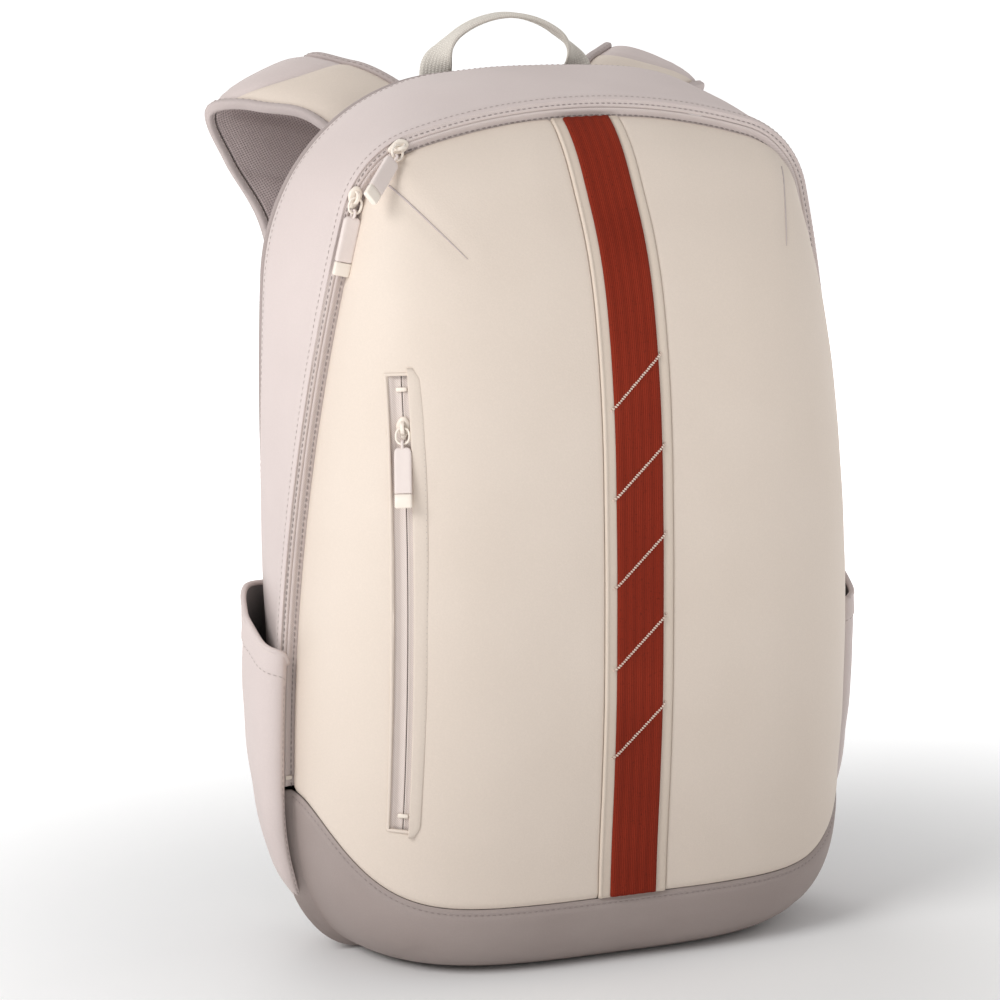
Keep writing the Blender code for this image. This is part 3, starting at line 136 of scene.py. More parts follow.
TOP_C = (0.0, EDGE_TOP - EDGE_TOP_R)
SIDE_C = (EDGE_HALF - EDGE_SIDE_R, EDGE_SIDE_Z)
CORNER_C = touching(TOP_C, EDGE_TOP_R, SIDE_C, EDGE_SIDE_R, EDGE_CORNER_R, 1)
TOP_END = heading(CORNER_C, TOP_C)
SIDE_START = heading(CORNER_C, SIDE_C)


def edge_line(offset, counts=(60, 40, 130), foot_z=SEAM_CORNER_Z):
    """The front panel's edge moved outwards, from the -X seam corner over the top to the +X one."""
    top, corner, side = counts
    foot = atan2(foot_z - EDGE_SIDE_Z, EDGE_SIDE_R)
    half = []
    for i in range(top):
        half.append((TOP_C, EDGE_TOP_R, pi / 2 + (TOP_END - pi / 2) * i / top))
    for i in range(corner):
        half.append((CORNER_C, EDGE_CORNER_R, TOP_END + (SIDE_START - TOP_END) * i / corner))
    for i in range(side + 1):
        half.append((SIDE_C, EDGE_SIDE_R, SIDE_START + (foot - SIDE_START) * i / side))
    right = [(c[0] + (r + offset) * cos(a), c[1] + (r + offset) * sin(a)) for c, r, a in half]
    left = [(-x, w) for x, w in right[:0:-1]]
    return left + right


def back_line(offset, counts=(30, 30, 60, 24, 24)):
    """The closed outline of the back moved outwards, clockwise from the top, as (x, z)."""
    top_c = (0.0, BACK_TOP - BACK_TOP_R)
    side_c = (BACK_HALF - BACK_SIDE_R, BACK_SIDE_Z)
    low_c = (0.0, BACK_BOTTOM + BACK_BOTTOM_R)
    corner = touching(top_c, BACK_TOP_R, side_c, BACK_SIDE_R, BACK_CORNER_R, 1)
    foot = touching(low_c, BACK_BOTTOM_R, side_c, BACK_SIDE_R, BACK_FOOT_R, -1)
    turns = [pi / 2, heading(corner, top_c), heading(corner, side_c), heading(foot, side_c),
             heading(foot, low_c), -pi / 2]
    arcs = [(top_c, BACK_TOP_R), (corner, BACK_CORNER_R), (side_c, BACK_SIDE_R), (foot, BACK_FOOT_R),
            (low_c, BACK_BOTTOM_R)]
    half = []
    for (c, r), a, b, n in zip(arcs, turns, turns[1:], counts):
        for i in range(n):
            t = a + (b - a) * i / n
            half.append((c[0] + (r + offset) * cos(t), c[1] + (r + offset) * sin(t)))
    half.append((0.0, BACK_BOTTOM - offset))
    return half + [(-x, z) for x, z in half[-2:0:-1]]


def profile(z):
    """Depth of the centre line at a height."""
    pts = CENTRE_PROFILE
    if z >= pts[0][1]:
        return pts[0][0]
    for i in range(len(pts) - 1):
        (f1, z1), (f2, z2) = pts[i], pts[i + 1]
        if z >= z2:
            t = (z1 - z) / (z1 - z2)
            before = pts[i - 1] if i else (2 * f1 - f2, 2 * z1 - z2)
            after = pts[i + 2] if i + 2 < len(pts) else (2 * f2 - f1, 2 * z2 - z1)
            m1 = (f2 - before[0]) / (before[1] - z2) * (z1 - z2)
            m2 = (after[0] - f1) / (z1 - after[1]) * (z1 - z2)
            return ((2 * t**3 - 3 * t**2 + 1) * f1 + (t**3 - 2 * t**2 + t) * m1
                    + (3 * t**2 - 2 * t**3) * f2 + (t**3 - t**2) * m2)
    return pts[-1][0]


class Line:
    """A polyline that can be read at a fraction or a distance of its length."""

    def __init__(self, points, closed=False):
        self.points = [Vector(p) for p in points]
        if closed:
            self.points.append(self.points[0].copy())
        self.at = [0.0]
        for a, b in zip(self.points, self.points[1:]):
            self.at.append(self.at[-1] + (b - a).length)
        self.length = self.at[-1]

    def where(self, s):
        s = clamp(s, 0.0, self.length)
        lo, hi = 0, len(self.at) - 2
        while lo < hi:
            mid = (lo + hi + 1) // 2
            if self.at[mid] <= s:
                lo = mid
            else:
                hi = mid - 1
        step = self.at[lo + 1] - self.at[lo]
        t = (s - self.at[lo]) / step if step > 1e-12 else 0.0
        return self.points[lo].lerp(self.points[lo + 1], t)

    def share(self, t):
        return self.where(t * self.length)


def resample(points, n):
    line = Line(points)
    return [line.share(i / n) for i in range(n + 1)]


EDGE_RIGHT = [p for p in edge_line(0.0, (24, 24, 60)) if p[0] >= 0]
CORNER_MID = (TOP_END + SIDE_START) / 2
CORNER_X = CORNER_C[0] + EDGE_CORNER_R * cos(CORNER_MID)
EDGE_OVER = [p for p in EDGE_RIGHT if p[0] <= CORNER_X and p[1] > CORNER_C[1]]
EDGE_DOWN = [p for p in EDGE_RIGHT if p not in EDGE_OVER]
EDGE_DOWN.insert(0, EDGE_OVER[-1])
SIDE_LINE = Line(EDGE_DOWN)
OVER_LINES = {}


def in_arc(x):
    return TOP_C[1] + sqrt(EDGE_TOP_R ** 2 - x * x)


def seam_z(x):
    return SEAM_FRONT_Z + (SEAM_CORNER_Z - SEAM_FRONT_Z) * min(abs(x) / EDGE_HALF, 1) ** SEAM_RISE_POWER


def over_line(inner):
    if inner not in OVER_LINES:
        pts = [Vector(p) for p in EDGE_OVER if p[0] > inner]
        pts.insert(0, Vector((inner, in_arc(inner))))
        OVER_LINES[inner] = Line(pts)
    return OVER_LINES[inner]


def front_point(u, v, inner=STRIP_HALF):
    """Right half of the front: u from the inner edge (0) to the zip (1), v from the seam (0) to the top (1)."""
    over = over_line(inner)
    top = over.share(u)
    side = SIDE_LINE.share(1 - v)
    x_low = mix(inner, EDGE_DOWN[-1][0], u)
    low = Vector((x_low, seam_z(x_low)))
    near = Vector((inner, mix(seam_z(inner), over.points[0][1], v)))
    corners = (Vector((inner, seam_z(inner))), Vector(EDGE_DOWN[-1]), over.points[0], Vector(EDGE_OVER[-1]))
    flat = corners[0].lerp(corners[1], u) * (1 - v) + corners[2].lerp(corners[3], u) * v
    p = low * (1 - v) + top * v + near * (1 - u) + side * u - flat
    reach = near[1]
    share = inner / EDGE_HALF
    across = share + (1 - share) * u
    depth = profile(reach) + plane_y(reach)
    bow = mix(3.5, 3.8, min(v * 1.6, 1))
    swell = max(1 - across ** bow, 0) ** (1 / mix(2.0, 2.3, v))
    return Vector((p[0], plane_y(p[1]) - depth * swell, p[1]))


def strip_surface(x, z):
    depth = profile(z) + plane_y(z)
    swell = max(1 - (abs(x) / EDGE_HALF) ** 3.5, 0) ** 0.48
    return Vector((x, plane_y(z) - depth * swell, z))


# ---------------------------------------------------------------- mesh helpers
def grid_normals(grid, closed=False):
    rows, cols = len(grid), len(grid[0])
    out = []
    for i in range(rows):
        line = []
        for j in range(cols):
            up = grid[min(i + 1, rows - 1)][j] - grid[max(i - 1, 0)][j]
            if closed:
                along = grid[i][(j + 1) % cols] - grid[i][j - 1]
            else:
                along = grid[i][min(j + 1, cols - 1)] - grid[i][max(j - 1, 0)]
            n = along.cross(up)
            line.append(n.normalized() if n.length > 1e-14 else Vector((0, -1, 0)))
        out.append(line)
    return out


class Sheet:
    """Collects vertices, faces, face materials and metre-scaled UVs, and makes one object."""

    def __init__(self):
        self.verts, self.faces, self.mats, self.uvs = [], [], [], []

    def grid(self, grid, mat=0, flip=False, closed=False):
        """Adds an open grid of points, rows by columns."""
        base = len(self.verts)
        rows, cols = len(grid), len(grid[0])
        mid = grid[rows // 2]
        us, vs = [0.0], [0.0]
        for j in range(1, cols + (1 if closed else 0)):
            us.append(us[-1] + (mid[j % cols] - mid[j - 1]).length)
        for i in range(1, rows):
            vs.append(vs[-1] + (grid[i][cols // 2] - grid[i - 1][cols // 2]).length)
        for row in grid:
            self.verts += row
        last = cols if closed else cols - 1
        for i in range(rows - 1):
            for j in range(last):
                k = (j + 1) % cols
                face = [base + i * cols + j, base + i * cols + k, base + (i + 1) * cols + k, base + (i + 1) * cols + j]
                uv = [(us[j], vs[i]), (us[j + 1], vs[i]), (us[j + 1], vs[i + 1]), (us[j], vs[i + 1])]
                if flip:
                    face, uv = face[::-1], uv[::-1]
                self.faces.append(face)
                self.uvs.append(uv)
                self.mats.append(mat)
        return base

    def face(self, ids, mat=0):
        self.faces.append(ids)
        self.uvs.append([(self.verts[k][0], self.verts[k][2]) for k in ids])
        self.mats.append(mat)

    def shell(self, outer, inner, lining=1):
        """A thick sheet: outer and inner grids and the four rims."""
        rows, cols = len(outer), len(outer[0])
        a, b = self.grid(outer), self.grid(inner, lining, True)
        last = (rows - 1) * cols
        first_row, first_column = range(cols), range(0, rows * cols, cols)
        for steps, start, turn in ((first_row, 0, True), (first_row, last, False),
                                   (first_column, 0, False), (first_column, cols - 1, True)):
            for i, j in zip(steps, steps[1:]):
                ids = [a + start + i, a + start + j, b + start + j, b + start + i]
                self.face(ids[::-1] if turn else ids)

    def sweep(self, path, sides, sections, closed=False):
        """A closed section carried along a path."""
        n = len(path)
        rings = []
        for i, p in enumerate(path):
            ahead = path[(i + 1) % n] if closed or i < n - 1 else p
            behind = path[i - 1] if closed or i > 0 else p
            forward = (ahead - behind).normalized()
            side = (sides[i] - forward * sides[i].dot(forward)).normalized()
            up = side.cross(forward).normalized()
            local = sections[i] if isinstance(sections[0], list) else sections
            rings.append([p + side * a + up * b for a, b in local])
        self.rings(rings, closed=closed)

    def rings(self, rings, closed=False, mats=None):
        """Closed rings of points joined into a tube, with flat ends unless it closes on itself."""
        grid = rings + [rings[0]] if closed else rings
        base = len(self.verts)
        m = len(rings[0])
        us, vs = [0.0], [0.0]
        mid = rings[len(rings) // 2]
        for j in range(1, m + 1):
            us.append(us[-1] + (mid[j % m] - mid[j - 1]).length)
        for i in range(1, len(grid)):
            vs.append(vs[-1] + (sum(grid[i], Vector()) / m - sum(grid[i - 1], Vector()) / m).length)
        for ring in rings:
            self.verts += ring
        count = len(rings)
        for i in range(count if closed else count - 1):
            for j in range(m):
                k = (j + 1) % m
                a, b = base + i * m, base + ((i + 1) % count) * m
                self.faces.append([a + j, a + k, b + k, b + j])
                self.uvs.append([(us[j], vs[i]), (us[j + 1], vs[i]), (us[j + 1], vs[i + 1]), (us[j], vs[i + 1])])
                self.mats.append(mats[i][j] if mats else 0)
        if not closed:
            self.face([base + j for j in range(m)][::-1])
            self.face([base + (count - 1) * m + j for j in range(m)])

    def make(self, name, materials, mirror=False):
        mesh = bpy.data.meshes.new(name)
        verts = [Vector((-v.x, v.y, v.z)) for v in self.verts] if mirror else self.verts
        mesh.from_pydata([tuple(v) for v in verts], [], self.faces)
        for m in materials:
            mesh.materials.append(m)
        layer = mesh.uv_layers.new(name="UVMap")
        flat = []
        for uv in self.uvs:
            for a, b in uv:
                flat += [a, b]
        layer.data.foreach_set("uv", flat)
        mesh.polygons.foreach_set("material_index", [min(m, len(materials) - 1) for m in self.mats])
        mesh.polygons.foreach_set("use_smooth", [True] * len(mesh.polygons))
        mesh.update()
        obj = bpy.data.objects.new(name, mesh)
        bpy.context.scene.collection.objects.link(obj)
        bm = bmesh.new()
        bm.from_mesh(mesh)
        bmesh.ops.recalc_face_normals(bm, faces=bm.faces)
        bm.to_mesh(mesh)
        bm.free()
        return obj


def sharpen(obj, angle=40.0):
    """Marks edges sharper than an angle, so that flat shading stays there."""
    bm = bmesh.new()
    bm.from_mesh(obj.data)
    limit = radians(angle)
    for e in bm.edges:
        if len(e.link_faces) == 2:
            e.smooth = e.calc_face_angle(0.0) < limit
    bm.to_mesh(obj.data)
    bm.free()
    return obj


def place(obj, body, *nodes, slot=None):
    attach(obj, body)
    if nodes:
        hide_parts(*nodes)
    return obj


def round_section(ra, rb, n=10, power=1.0):
    out = []
    for k in range(n):
        t = 2 * pi * (k + 0.5) / n
        c, s = cos(t), sin(t)
        out.append((ra * abs(c) ** power * (1 if c > 0 else -1), rb * abs(s) ** power * (1 if s > 0 else -1)))
    return out


def flat_section(half, high, edge=0.35, n=9):
    """Webbing's cross-section: flat, with rounded selvages."""
    top = []
    for k in range(n):
        t = -1 + 2 * k / (n - 1)
        top.append((half * t, high * (1 - max(abs(t) - (1 - edge), 0) ** 2 / edge ** 2 * 0.7)))
    return top + [(a, -b) for a, b in reversed(top)]


def carve(obj, cutter):
    """Cuts one closed body out of another."""
    step = obj.modifiers.new("cut", "BOOLEAN")
    step.operation = "DIFFERENCE"
    step.solver = "EXACT"
    step.object = cutter
    bpy.context.view_layer.update()
    mesh = bpy.data.meshes.new_from_object(obj.evaluated_get(bpy.context.evaluated_depsgraph_get()))
    obj.modifiers.clear()
    obj.data = mesh
    bpy.data.objects.remove(cutter, do_unlink=True)
    return obj


SEAM_STITCH = (0.0034, 0.0024)      # pitch and length of the stitches along the body's seams


def stitches(name, path, ups, material, body, pitch=0.0036, length=0.0026, radius=0.00026):
    """A row of separate thread stitches along a path, each a small spindle pressed into the cloth."""
    line, lift = Line(path), Line([Vector(p) + Vector(u) * 0.01 for p, u in zip(path, ups)])
    s = Sheet()
    for k in range(int(line.length / pitch)):
        mid = (k + 0.5) * pitch
        centre = line.where(mid)
        a, b = line.where(mid - length / 2), line.where(mid + length / 2)
        along = (b - a).normalized()
        up = (lift.share(mid / line.length) - centre).normalized()
        side = along.cross(up).normalized()
        up = side.cross(along)
        rings = []
        for t, w, h in ((-0.5, 0.35, -0.9), (-0.34, 0.9, -0.1), (0.0, 1.0, 0.35), (0.34, 0.9, -0.1), (0.5, 0.35, -0.9)):
            c = centre + along * length * t + up * radius * h
            rings.append([c + side * radius * w * cos(2 * pi * q / 6) + up * radius * w * sin(2 * pi * q / 6)
                          for q in range(6)])
        s.rings(rings)
    obj = s.make(name, [material])
    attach(obj, body)
    return obj


# ---------------------------------------------------------------- materials
def nodes_of(name):
    m = bpy.data.materials.new(name)
    m.use_nodes = True
    tree = m.node_tree
    return m, tree, tree.nodes["Principled BSDF"]


def link(tree, a, out, b, into):
    tree.links.new(a.outputs[out], b.inputs[into])


def add(tree, kind, values=None, source=None, **settings):
    """A new shader node with its settings, its sockets' values and one link (node, output, input)."""
    node = tree.nodes.new("ShaderNode" + kind)
    for key, value in settings.items():
        setattr(node, key, value)
    for key, value in (values or {}).items():
        node.inputs[key].default_value = value
    if source:
        link(tree, source[0], source[1], node, source[2])
    return node


def remap(tree, source, out, to, lo=0.0, hi=1.0):
    """Maps one output from lo..hi to another range."""
    return add(tree, "MapRange", {"From Min": lo, "From Max": hi, "To Min": to[0], "To Max": to[1]},
               (source, out, "Value"))


def noise_of(tree, where, scale, detail):
    return add(tree, "TexNoise", {"Scale": scale, "Detail": detail}, (where, "Object", "Vector"))


def bands(tree, scaled, way):
    """Woven threads: 0.314 makes one band for each unit of the scaled coordinate."""
    return add(tree, "TexWave", {"Scale": 0.314, "Distortion": 0.3}, (scaled, "Vector", "Vector"),
               wave_type="BANDS", bands_direction=way)


def weave_height(tree, where, weave, pitch):
    """The node and output that hold the height of a weave."""
    if weave == "coated":
        return add(tree, "TexVoronoi", {"Scale": 1 / pitch}, (where, "Object", "Vector"),
                   feature="SMOOTH_F1"), "Distance"
    turn = (0, 0, radians(45) if weave == "twill" else 0)
    scaled = add(tree, "Mapping", {"Scale": (1 / pitch, 1 / pitch, 1.0), "Rotation": turn}, (where, "UV", "Vector"))
    if weave == "mesh":
        return add(tree, "TexVoronoi", {"Scale": 1.0, "Randomness": 0.12}, (scaled, "Vector", "Vector"),
                   feature="F1", voronoi_dimensions="2D"), "Distance"
    warp = bands(tree, scaled, "X")
    if weave != "plain":
        return warp, "Fac"
    join = add(tree, "Math", source=(warp, "Fac", 0), operation="MULTIPLY")
    link(tree, bands(tree, scaled, "Y"), "Fac", join, 1)
    return join, 0


GROOVES = {"coated": 0.95, "plain": 0.80, "ribs": 0.74, "twill": 0.80, "mesh": 0.45}    # painted shade in the weave's grooves and holes: the brightness left in its lowest parts


def fabric(name, colour, low=None, weave="coated", pitch=0.0006, depth=0.00012, rough=0.75, sheen=0.15,
           blotch=0.35, specular=0.35, rough_var=0.08, fleck=0.0):
    """Cloth or coated cloth. weave: coated, plain, ribs, twill or mesh. pitch and depth are in metres."""
    low = low or tuple(c * 0.86 for c in colour)
    m, t, shader = nodes_of(name)
    where = add(t, "TexCoord")
    # colour that drifts over centimetres, and finer mottling
    drift = noise_of(t, where, 16.0, 3.0)
    fine = noise_of(t, where, 900.0, 2.0)
    height, out = weave_height(t, where, weave, pitch)
    blend = add(t, "Mix", {6: (*colour, 1), 7: (*low, 1)}, data_type="RGBA")
    link(t, remap(t, drift, "Fac", (0.0, blotch), 0.3, 0.7), "Result", blend, 0)
    shade = add(t, "Mix", {0: 1.0}, data_type="RGBA", blend_type="MULTIPLY")
    link(t, blend, 2, shade, 6)
    # painted shade: the weave's low parts are darkened by the GROOVES share
    darker = remap(t, height, out, (GROOVES[weave], 1.0), *((0.12, 0.42) if weave == "mesh" else (0.0, 1.0)))
    if fleck:
        both = add(t, "Math", source=(darker, "Result", 0), operation="MULTIPLY")
        link(t, remap(t, fine, "Fac", (1.0, 1.0 - fleck), 0.60, 0.72), "Result", both, 1)
        link(t, both, 0, shade, 7)
    else:
        link(t, darker, "Result", shade, 7)
    link(t, shade, 2, shader, "Base Color")
    # roughness and relief
    link(t, remap(t, drift, "Fac", (rough - rough_var, rough + rough_var)), "Result", shader, "Roughness")
    relief = add(t, "Bump", {"Distance": depth, "Strength": 0.8}, (height, out, "Height"), invert=weave == "coated")
    soft = add(t, "Bump", {"Distance": 0.00005, "Strength": 0.5}, (fine, "Fac", "Height"))
    link(t, relief, "Normal", soft, "Normal")
    link(t, soft, "Normal", shader, "Normal")
    for key, value in (("Sheen Weight", sheen), ("Sheen Roughness", 0.5), ("Sheen Tint", (*colour, 1)),
                       ("Specular IOR Level", specular)):
        shader.inputs[key].default_value = value
    return m


def moulded(name, colour, rough=0.42, grain=0.00003, edge_lighten=0.10, specular=0.5):
    """Moulded plastic or rubber: fine grain, faint flow marks, convex edges a little lighter."""
    m, t, shader = nodes_of(name)
    where = add(t, "TexCoord")
    fine = noise_of(t, where, 2600.0, 3.0)
    broad = noise_of(t, where, 160.0, 4.0)
    # convex edges, found by pointiness, are made lighter in colour
    edge = remap(t, add(t, "NewGeometry"), "Pointiness", (0.0, edge_lighten), 0.50, 0.62)
    tone = add(t, "Mix", {6: (*[c * 0.93 for c in colour], 1), 7: (*colour, 1)}, (broad, "Fac", 0), data_type="RGBA")
    lighter_edges = add(t, "Mix", {7: (*[min(c * 1.25 + 0.03, 1) for c in colour], 1)}, (edge, "Result", 0), data_type="RGBA")
    link(t, tone, 2, lighter_edges, 6)
    link(t, lighter_edges, 2, shader, "Base Color")
    link(t, remap(t, broad, "Fac", (rough - 0.08, rough + 0.10)), "Result", shader, "Roughness")
    relief = add(t, "Bump", {"Distance": grain, "Strength": 0.6}, (fine, "Fac", "Height"))
    link(t, relief, "Normal", shader, "Normal")
    shader.inputs["Specular IOR Level"].default_value = specular
    return m


CREAM = (0.735, 0.636, 0.553)
TAUPE = (0.655, 0.565, 0.540)
BASE = (0.375, 0.313, 0.292)
M = {
    "cream": fabric("cream_coated", CREAM, (0.70, 0.60, 0.515), "coated", 0.0009, 0.00005, 0.62, 0.10, 0.5),
    "cream_strap": fabric("cream_strap_cloth", CREAM, (0.70, 0.60, 0.515), "coated", 0.0009, 0.00006, 0.70, 0.15, 0.5),
    "taupe": fabric("taupe_coated", TAUPE, (0.60, 0.515, 0.495), "coated", 0.0008, 0.00006, 0.62, 0.12, 0.5),
    "base": fabric("base_coated", BASE, (0.325, 0.265, 0.246), "coated", 0.0008, 0.00008, 0.60, 0.10, 0.6),
    "rust": fabric("rust_webbing", (0.275, 0.028, 0.011), (0.215, 0.020, 0.008), "ribs", 0.0011, 0.00018, 0.74, 0.06,
                   0.7, 0.12, 0.06, 0.30),
    "tape": fabric("zip_tape", (0.72, 0.625, 0.595), None, "twill", 0.0009, 0.00012, 0.8, 0.2, 0.3),
    "binding": fabric("binding_tape", (0.60, 0.515, 0.495), None, "plain", 0.0007, 0.00012, 0.82, 0.25, 0.4),
    "piping": fabric("piping_cloth", (0.40, 0.335, 0.32), None, "coated", 0.0008, 0.00008, 0.7, 0.1, 0.4),
    "webbing": fabric("cream_webbing", (0.84, 0.785, 0.71), (0.77, 0.71, 0.63), "plain", 0.0013, 0.00030, 0.82, 0.3,
                      0.4, 0.25),
    "lining": fabric("lining_cloth", (0.20, 0.185, 0.18), None, "plain", 0.0008, 0.00012, 0.7, 0.1, 0.4),
    "mesh": fabric("air_mesh", (0.44, 0.365, 0.355), (0.38, 0.31, 0.30), "mesh", 0.0019, 0.0006, 0.88, 0.3, 0.4),
    "strap_mesh": fabric("strap_air_mesh", (0.52, 0.43, 0.42), (0.44, 0.36, 0.35), "mesh", 0.0015, 0.0005, 0.88,
                         0.3, 0.4),
    "thread": fabric("thread_taupe", (0.33, 0.275, 0.26), None, "twill", 0.0004, 0.00008, 0.6, 0.2, 0.3),
    "thread_light": fabric("thread_cream", (0.66, 0.57, 0.49), None, "twill", 0.0004, 0.00008, 0.55, 0.2, 0.3),
    "satin": fabric("satin_thread", (0.86, 0.70, 0.60), (0.74, 0.58, 0.48), "twill", 0.0005, 0.00015, 0.5, 0.3, 0.5),
    "hardware": moulded("cream_acetal", (0.86, 0.77, 0.68), 0.36),
    "grip": moulded("grip_rubber", (0.76, 0.665, 0.625), 0.55, 0.00005, 0.05, 0.35),
    "coil": moulded("zip_coil", (0.50, 0.42, 0.39), 0.45),
    "board": moulded("board_sheet", (0.035, 0.035, 0.038), 0.5),
    "cream_strip": fabric("cream_strip_cloth", (0.70, 0.598, 0.505), (0.665, 0.56, 0.465), "coated", 0.0009, 0.00005,
                          0.60, 0.12, 0.5),
    # painted light: a lighter copy of the zip tape, lifting the shade in the deep pocket slot
    "tape_painted_lighter": fabric("pocket_zip_tape", (0.80, 0.70, 0.65), None, "twill", 0.0009, 0.00012, 0.8, 0.2, 0.3),
    "thread_mid": fabric("thread_mid", (0.47, 0.40, 0.375), None, "twill", 0.0004, 0.00008, 0.6, 0.2, 0.3),
    "lining_light": fabric("lining_grey", (0.30, 0.28, 0.275), None, "plain", 0.0008, 0.00012, 0.75, 0.1, 0.4),
}

# ---------------------------------------------------------------- front panels
END_STEPS = [0.0, 0.0007, 0.0014, 0.0024, 0.0038, 0.0058, 0.0085]
COLUMN_LENGTH = 0.415


def spread(length, count):
    """Distances along a length, close together near both ends."""
    lo, hi = END_STEPS[-1], length - END_STEPS[-1]
    middle = [mix(lo, hi, k / count) for k in range(1, count)]
    return END_STEPS + middle + [length - s for s in reversed(END_STEPS)]


DARTS = [((-0.1190, 0.4290), (-0.0884, 0.3917)), ((0.1180, 0.4290), (0.1058, 0.3884))]


def from_segment(x, z, a, b):
    ax, az = b[0] - a[0], b[1] - a[1]
    t = clamp(((x - a[0]) * ax + (z - a[1]) * az) / (ax * ax + az * az))
    return hypot(x - a[0] - ax * t, z - a[1] - az * t), t


def front_rows():
    grid, edge = [], []
    inner = STRIP_HALF + GAP
    for d in spread(COLUMN_LENGTH, 88):
        v = d / COLUMN_LENGTH
        line = Line([front_point(sin(k / 80 * pi / 2), v, inner) for k in range(81)])
        steps = spread(line.length, 56) if line.length > 0.03 else [line.length * k / 69 for k in range(70)]
        grid.append([line.where(s) for s in steps])
        edge.append([(s, line.length - s) for s in steps])
    return grid, edge


def front_relief(p, d_in, d_out, d_top, d_low, sign):
    """Height added to the smooth dome: rolled edges, pull lines and the slack of lined cloth."""
    d_zip = min(d_out, d_top)
    h = -0.0009 * (1 - ease(d_zip / 0.0030)) + 0.0004 * bump(d_zip - 0.006, 0.004)
    h += -0.0009 * (1 - ease(d_low / 0.0026)) + 0.0003 * bump(d_low - 0.006, 0.004)
    h += -0.0003 * (1 - ease(d_in / 0.0020))
    calm = ease(min(d_zip, d_low, d_in) / 0.022)
    q = (p.x * sign, p.y, p.z)
    h += calm * (0.0007 * wave(q, 0.085, 3.1 * sign) + 0.00022 * wave(q, 0.026, 8.0))
    # shallow pulls that run down from the strip's seam
    h += 0.0004 * ease(d_in / 0.01) * bump(d_in - 0.020, 0.016) * (0.5 + 0.5 * wave(q, 0.05, 1.7))
    for a, b in DARTS:
        if a[0] * sign > 0:
            d, t = from_segment(sign * p.x, p.z, a, b)
            h += (1 - 0.6 * t) * (-0.0007 * bump(d, 0.0032) + 0.0004 * bump(d - 0.008, 0.006))
    return h


def make_front():
    grid, edge = front_rows()
    n = grid_normals(grid)
    rows, cols = len(grid), len(grid[0])
    down = [0.0] * cols
    low = []
    for i in range(rows):
        if i:
            down = [down[j] + (grid[i][j] - grid[i - 1][j]).length for j in range(cols)]
        low.append(list(down))
    total = low[-1]
    made = {}
    for sign, name in ((1, "right"), (-1, "left")):
        outer, inner = [], []
        for i in range(rows):
            a, b = [], []
            for j in range(cols):
                p, q = grid[i][j], n[i][j]
                d_in, d_out = edge[i][j]
                h = front_relief(p, d_in, d_out, total[j] - low[i][j], low[i][j], sign)
                a.append(p + q * h)
                b.append(p - q * FABRIC)
            outer.append(a)
            inner.append(b)
        s = Sheet()
        s.shell(outer, inner)
        made[name] = s.make("shell_front_" + name, [M["cream"], M["lining"]], mirror=sign < 0)
    return made


def front_finder(grid):
    """Finds the left front's surface and outward direction from (x, z)."""
    verts = [Vector((-p.x, p.y, p.z)) for row in grid for p in row]
    cols = len(grid[0])
    faces = [(i * cols + j, (i + 1) * cols + j, (i + 1) * cols + j + 1, i * cols + j + 1)
             for i in range(len(grid) - 1) for j in range(cols - 1)]
    tree = BVHTree.FromPolygons(verts, faces)

    def find(x, z, sign=-1):
        hit, normal, _, _ = tree.ray_cast(Vector((-abs(x), -1, z)), Vector((0, 1, 0)))
        normal = -normal if normal.y > 0 else normal
        if sign > 0:
            return Vector((-hit.x, hit.y, hit.z)), Vector((-normal.x, normal.y, normal.z))
        return hit, normal
    return find


def slot_track(find):
    ends = [find(*SLOT_TOP)[0], find(*SLOT_FOOT)[0]]
    middle, normal = find((SLOT_TOP[0] + SLOT_FOOT[0]) / 2, (SLOT_TOP[1] + SLOT_FOOT[1]) / 2)
    chord = ends[1] - ends[0]
    down = chord.normalized()
    bow = middle - (ends[0] + chord / 2)
    bow -= down * bow.dot(down)
    sag, out = bow.length, bow.normalized()
    radius = (chord.length ** 2 / 4 + sag ** 2) / (2 * sag)
    centre = ends[0] + chord / 2 - out * (radius - sag)
    half = atan2(chord.length / 2, radius - sag)
    side = out.cross(down)
    slope = atan2(-normal.dot(side), normal.dot(out))
    return centre, radius, out, down, half, slope


def track_axes(track, angle):
    _, _, out, down, _, slope = track
    radial = out * cos(angle) + down * sin(angle)
    ahead = down * cos(angle) - out * sin(angle)
    side = out.cross(down)
    return ahead, side * cos(slope) + radial * sin(slope), radial * cos(slope) - side * sin(slope)


def on_track(track, angle, across=0.0, lift=0.0):
    centre, radius, out, down, _, _ = track
    _, side, off = track_axes(track, angle)
    return centre + (out * cos(angle) + down * sin(angle)) * radius + side * across + off * lift


def surface_at(find, p):
    s, out = find(p.x, p.z)
    return s, out


# ---------------------------------------------------------------- centre strip
def strip_rows(half, low, high, rows, columns, relief, base_lift):
    grid = []
    for i in range(rows + 1):
        z = mix(low, high, i / rows)
        row = []
        for j in range(columns + 1):
            x = mix(-half, half, j / columns)
            p = strip_surface(x, z)
            a = strip_surface(x, z + 0.001) - strip_surface(x, z - 0.001)
            n = Vector((1, 0, 0)).cross(a).normalized()
            n = n if n.y < 0 else -n
            row.append(p + n * (base_lift + relief(x, z)))
        grid.append(row)
    return grid


def ridge(x, z):
    """The strip's folded edge stands up as a narrow bead on the left and rolls softly down on the right."""
    d = STRIP_HALF - abs(x)
    soft = -0.0007 * (1 - ease(d / 0.0009)) + 0.0001 * wave((x, 0, z), 0.018, 4)
    if x < 0:
        return soft + 0.0007 * bump(d - 0.0010, 0.0006)
    return soft + 0.0004 * bump(d - 0.0030, 0.0020)


def ribs(x, z):
    """Webbing: raised selvages and a shallow channel either side of the middle."""
    t = abs(x) / WEBBING_HALF
    edge = -0.0009 * max(t - 0.95, 0) / 0.05
    return edge + 0.00018 * cos(x / WEBBING_HALF * pi * 5) + 0.00012 * wave((x, 0, z), 0.03, 2)


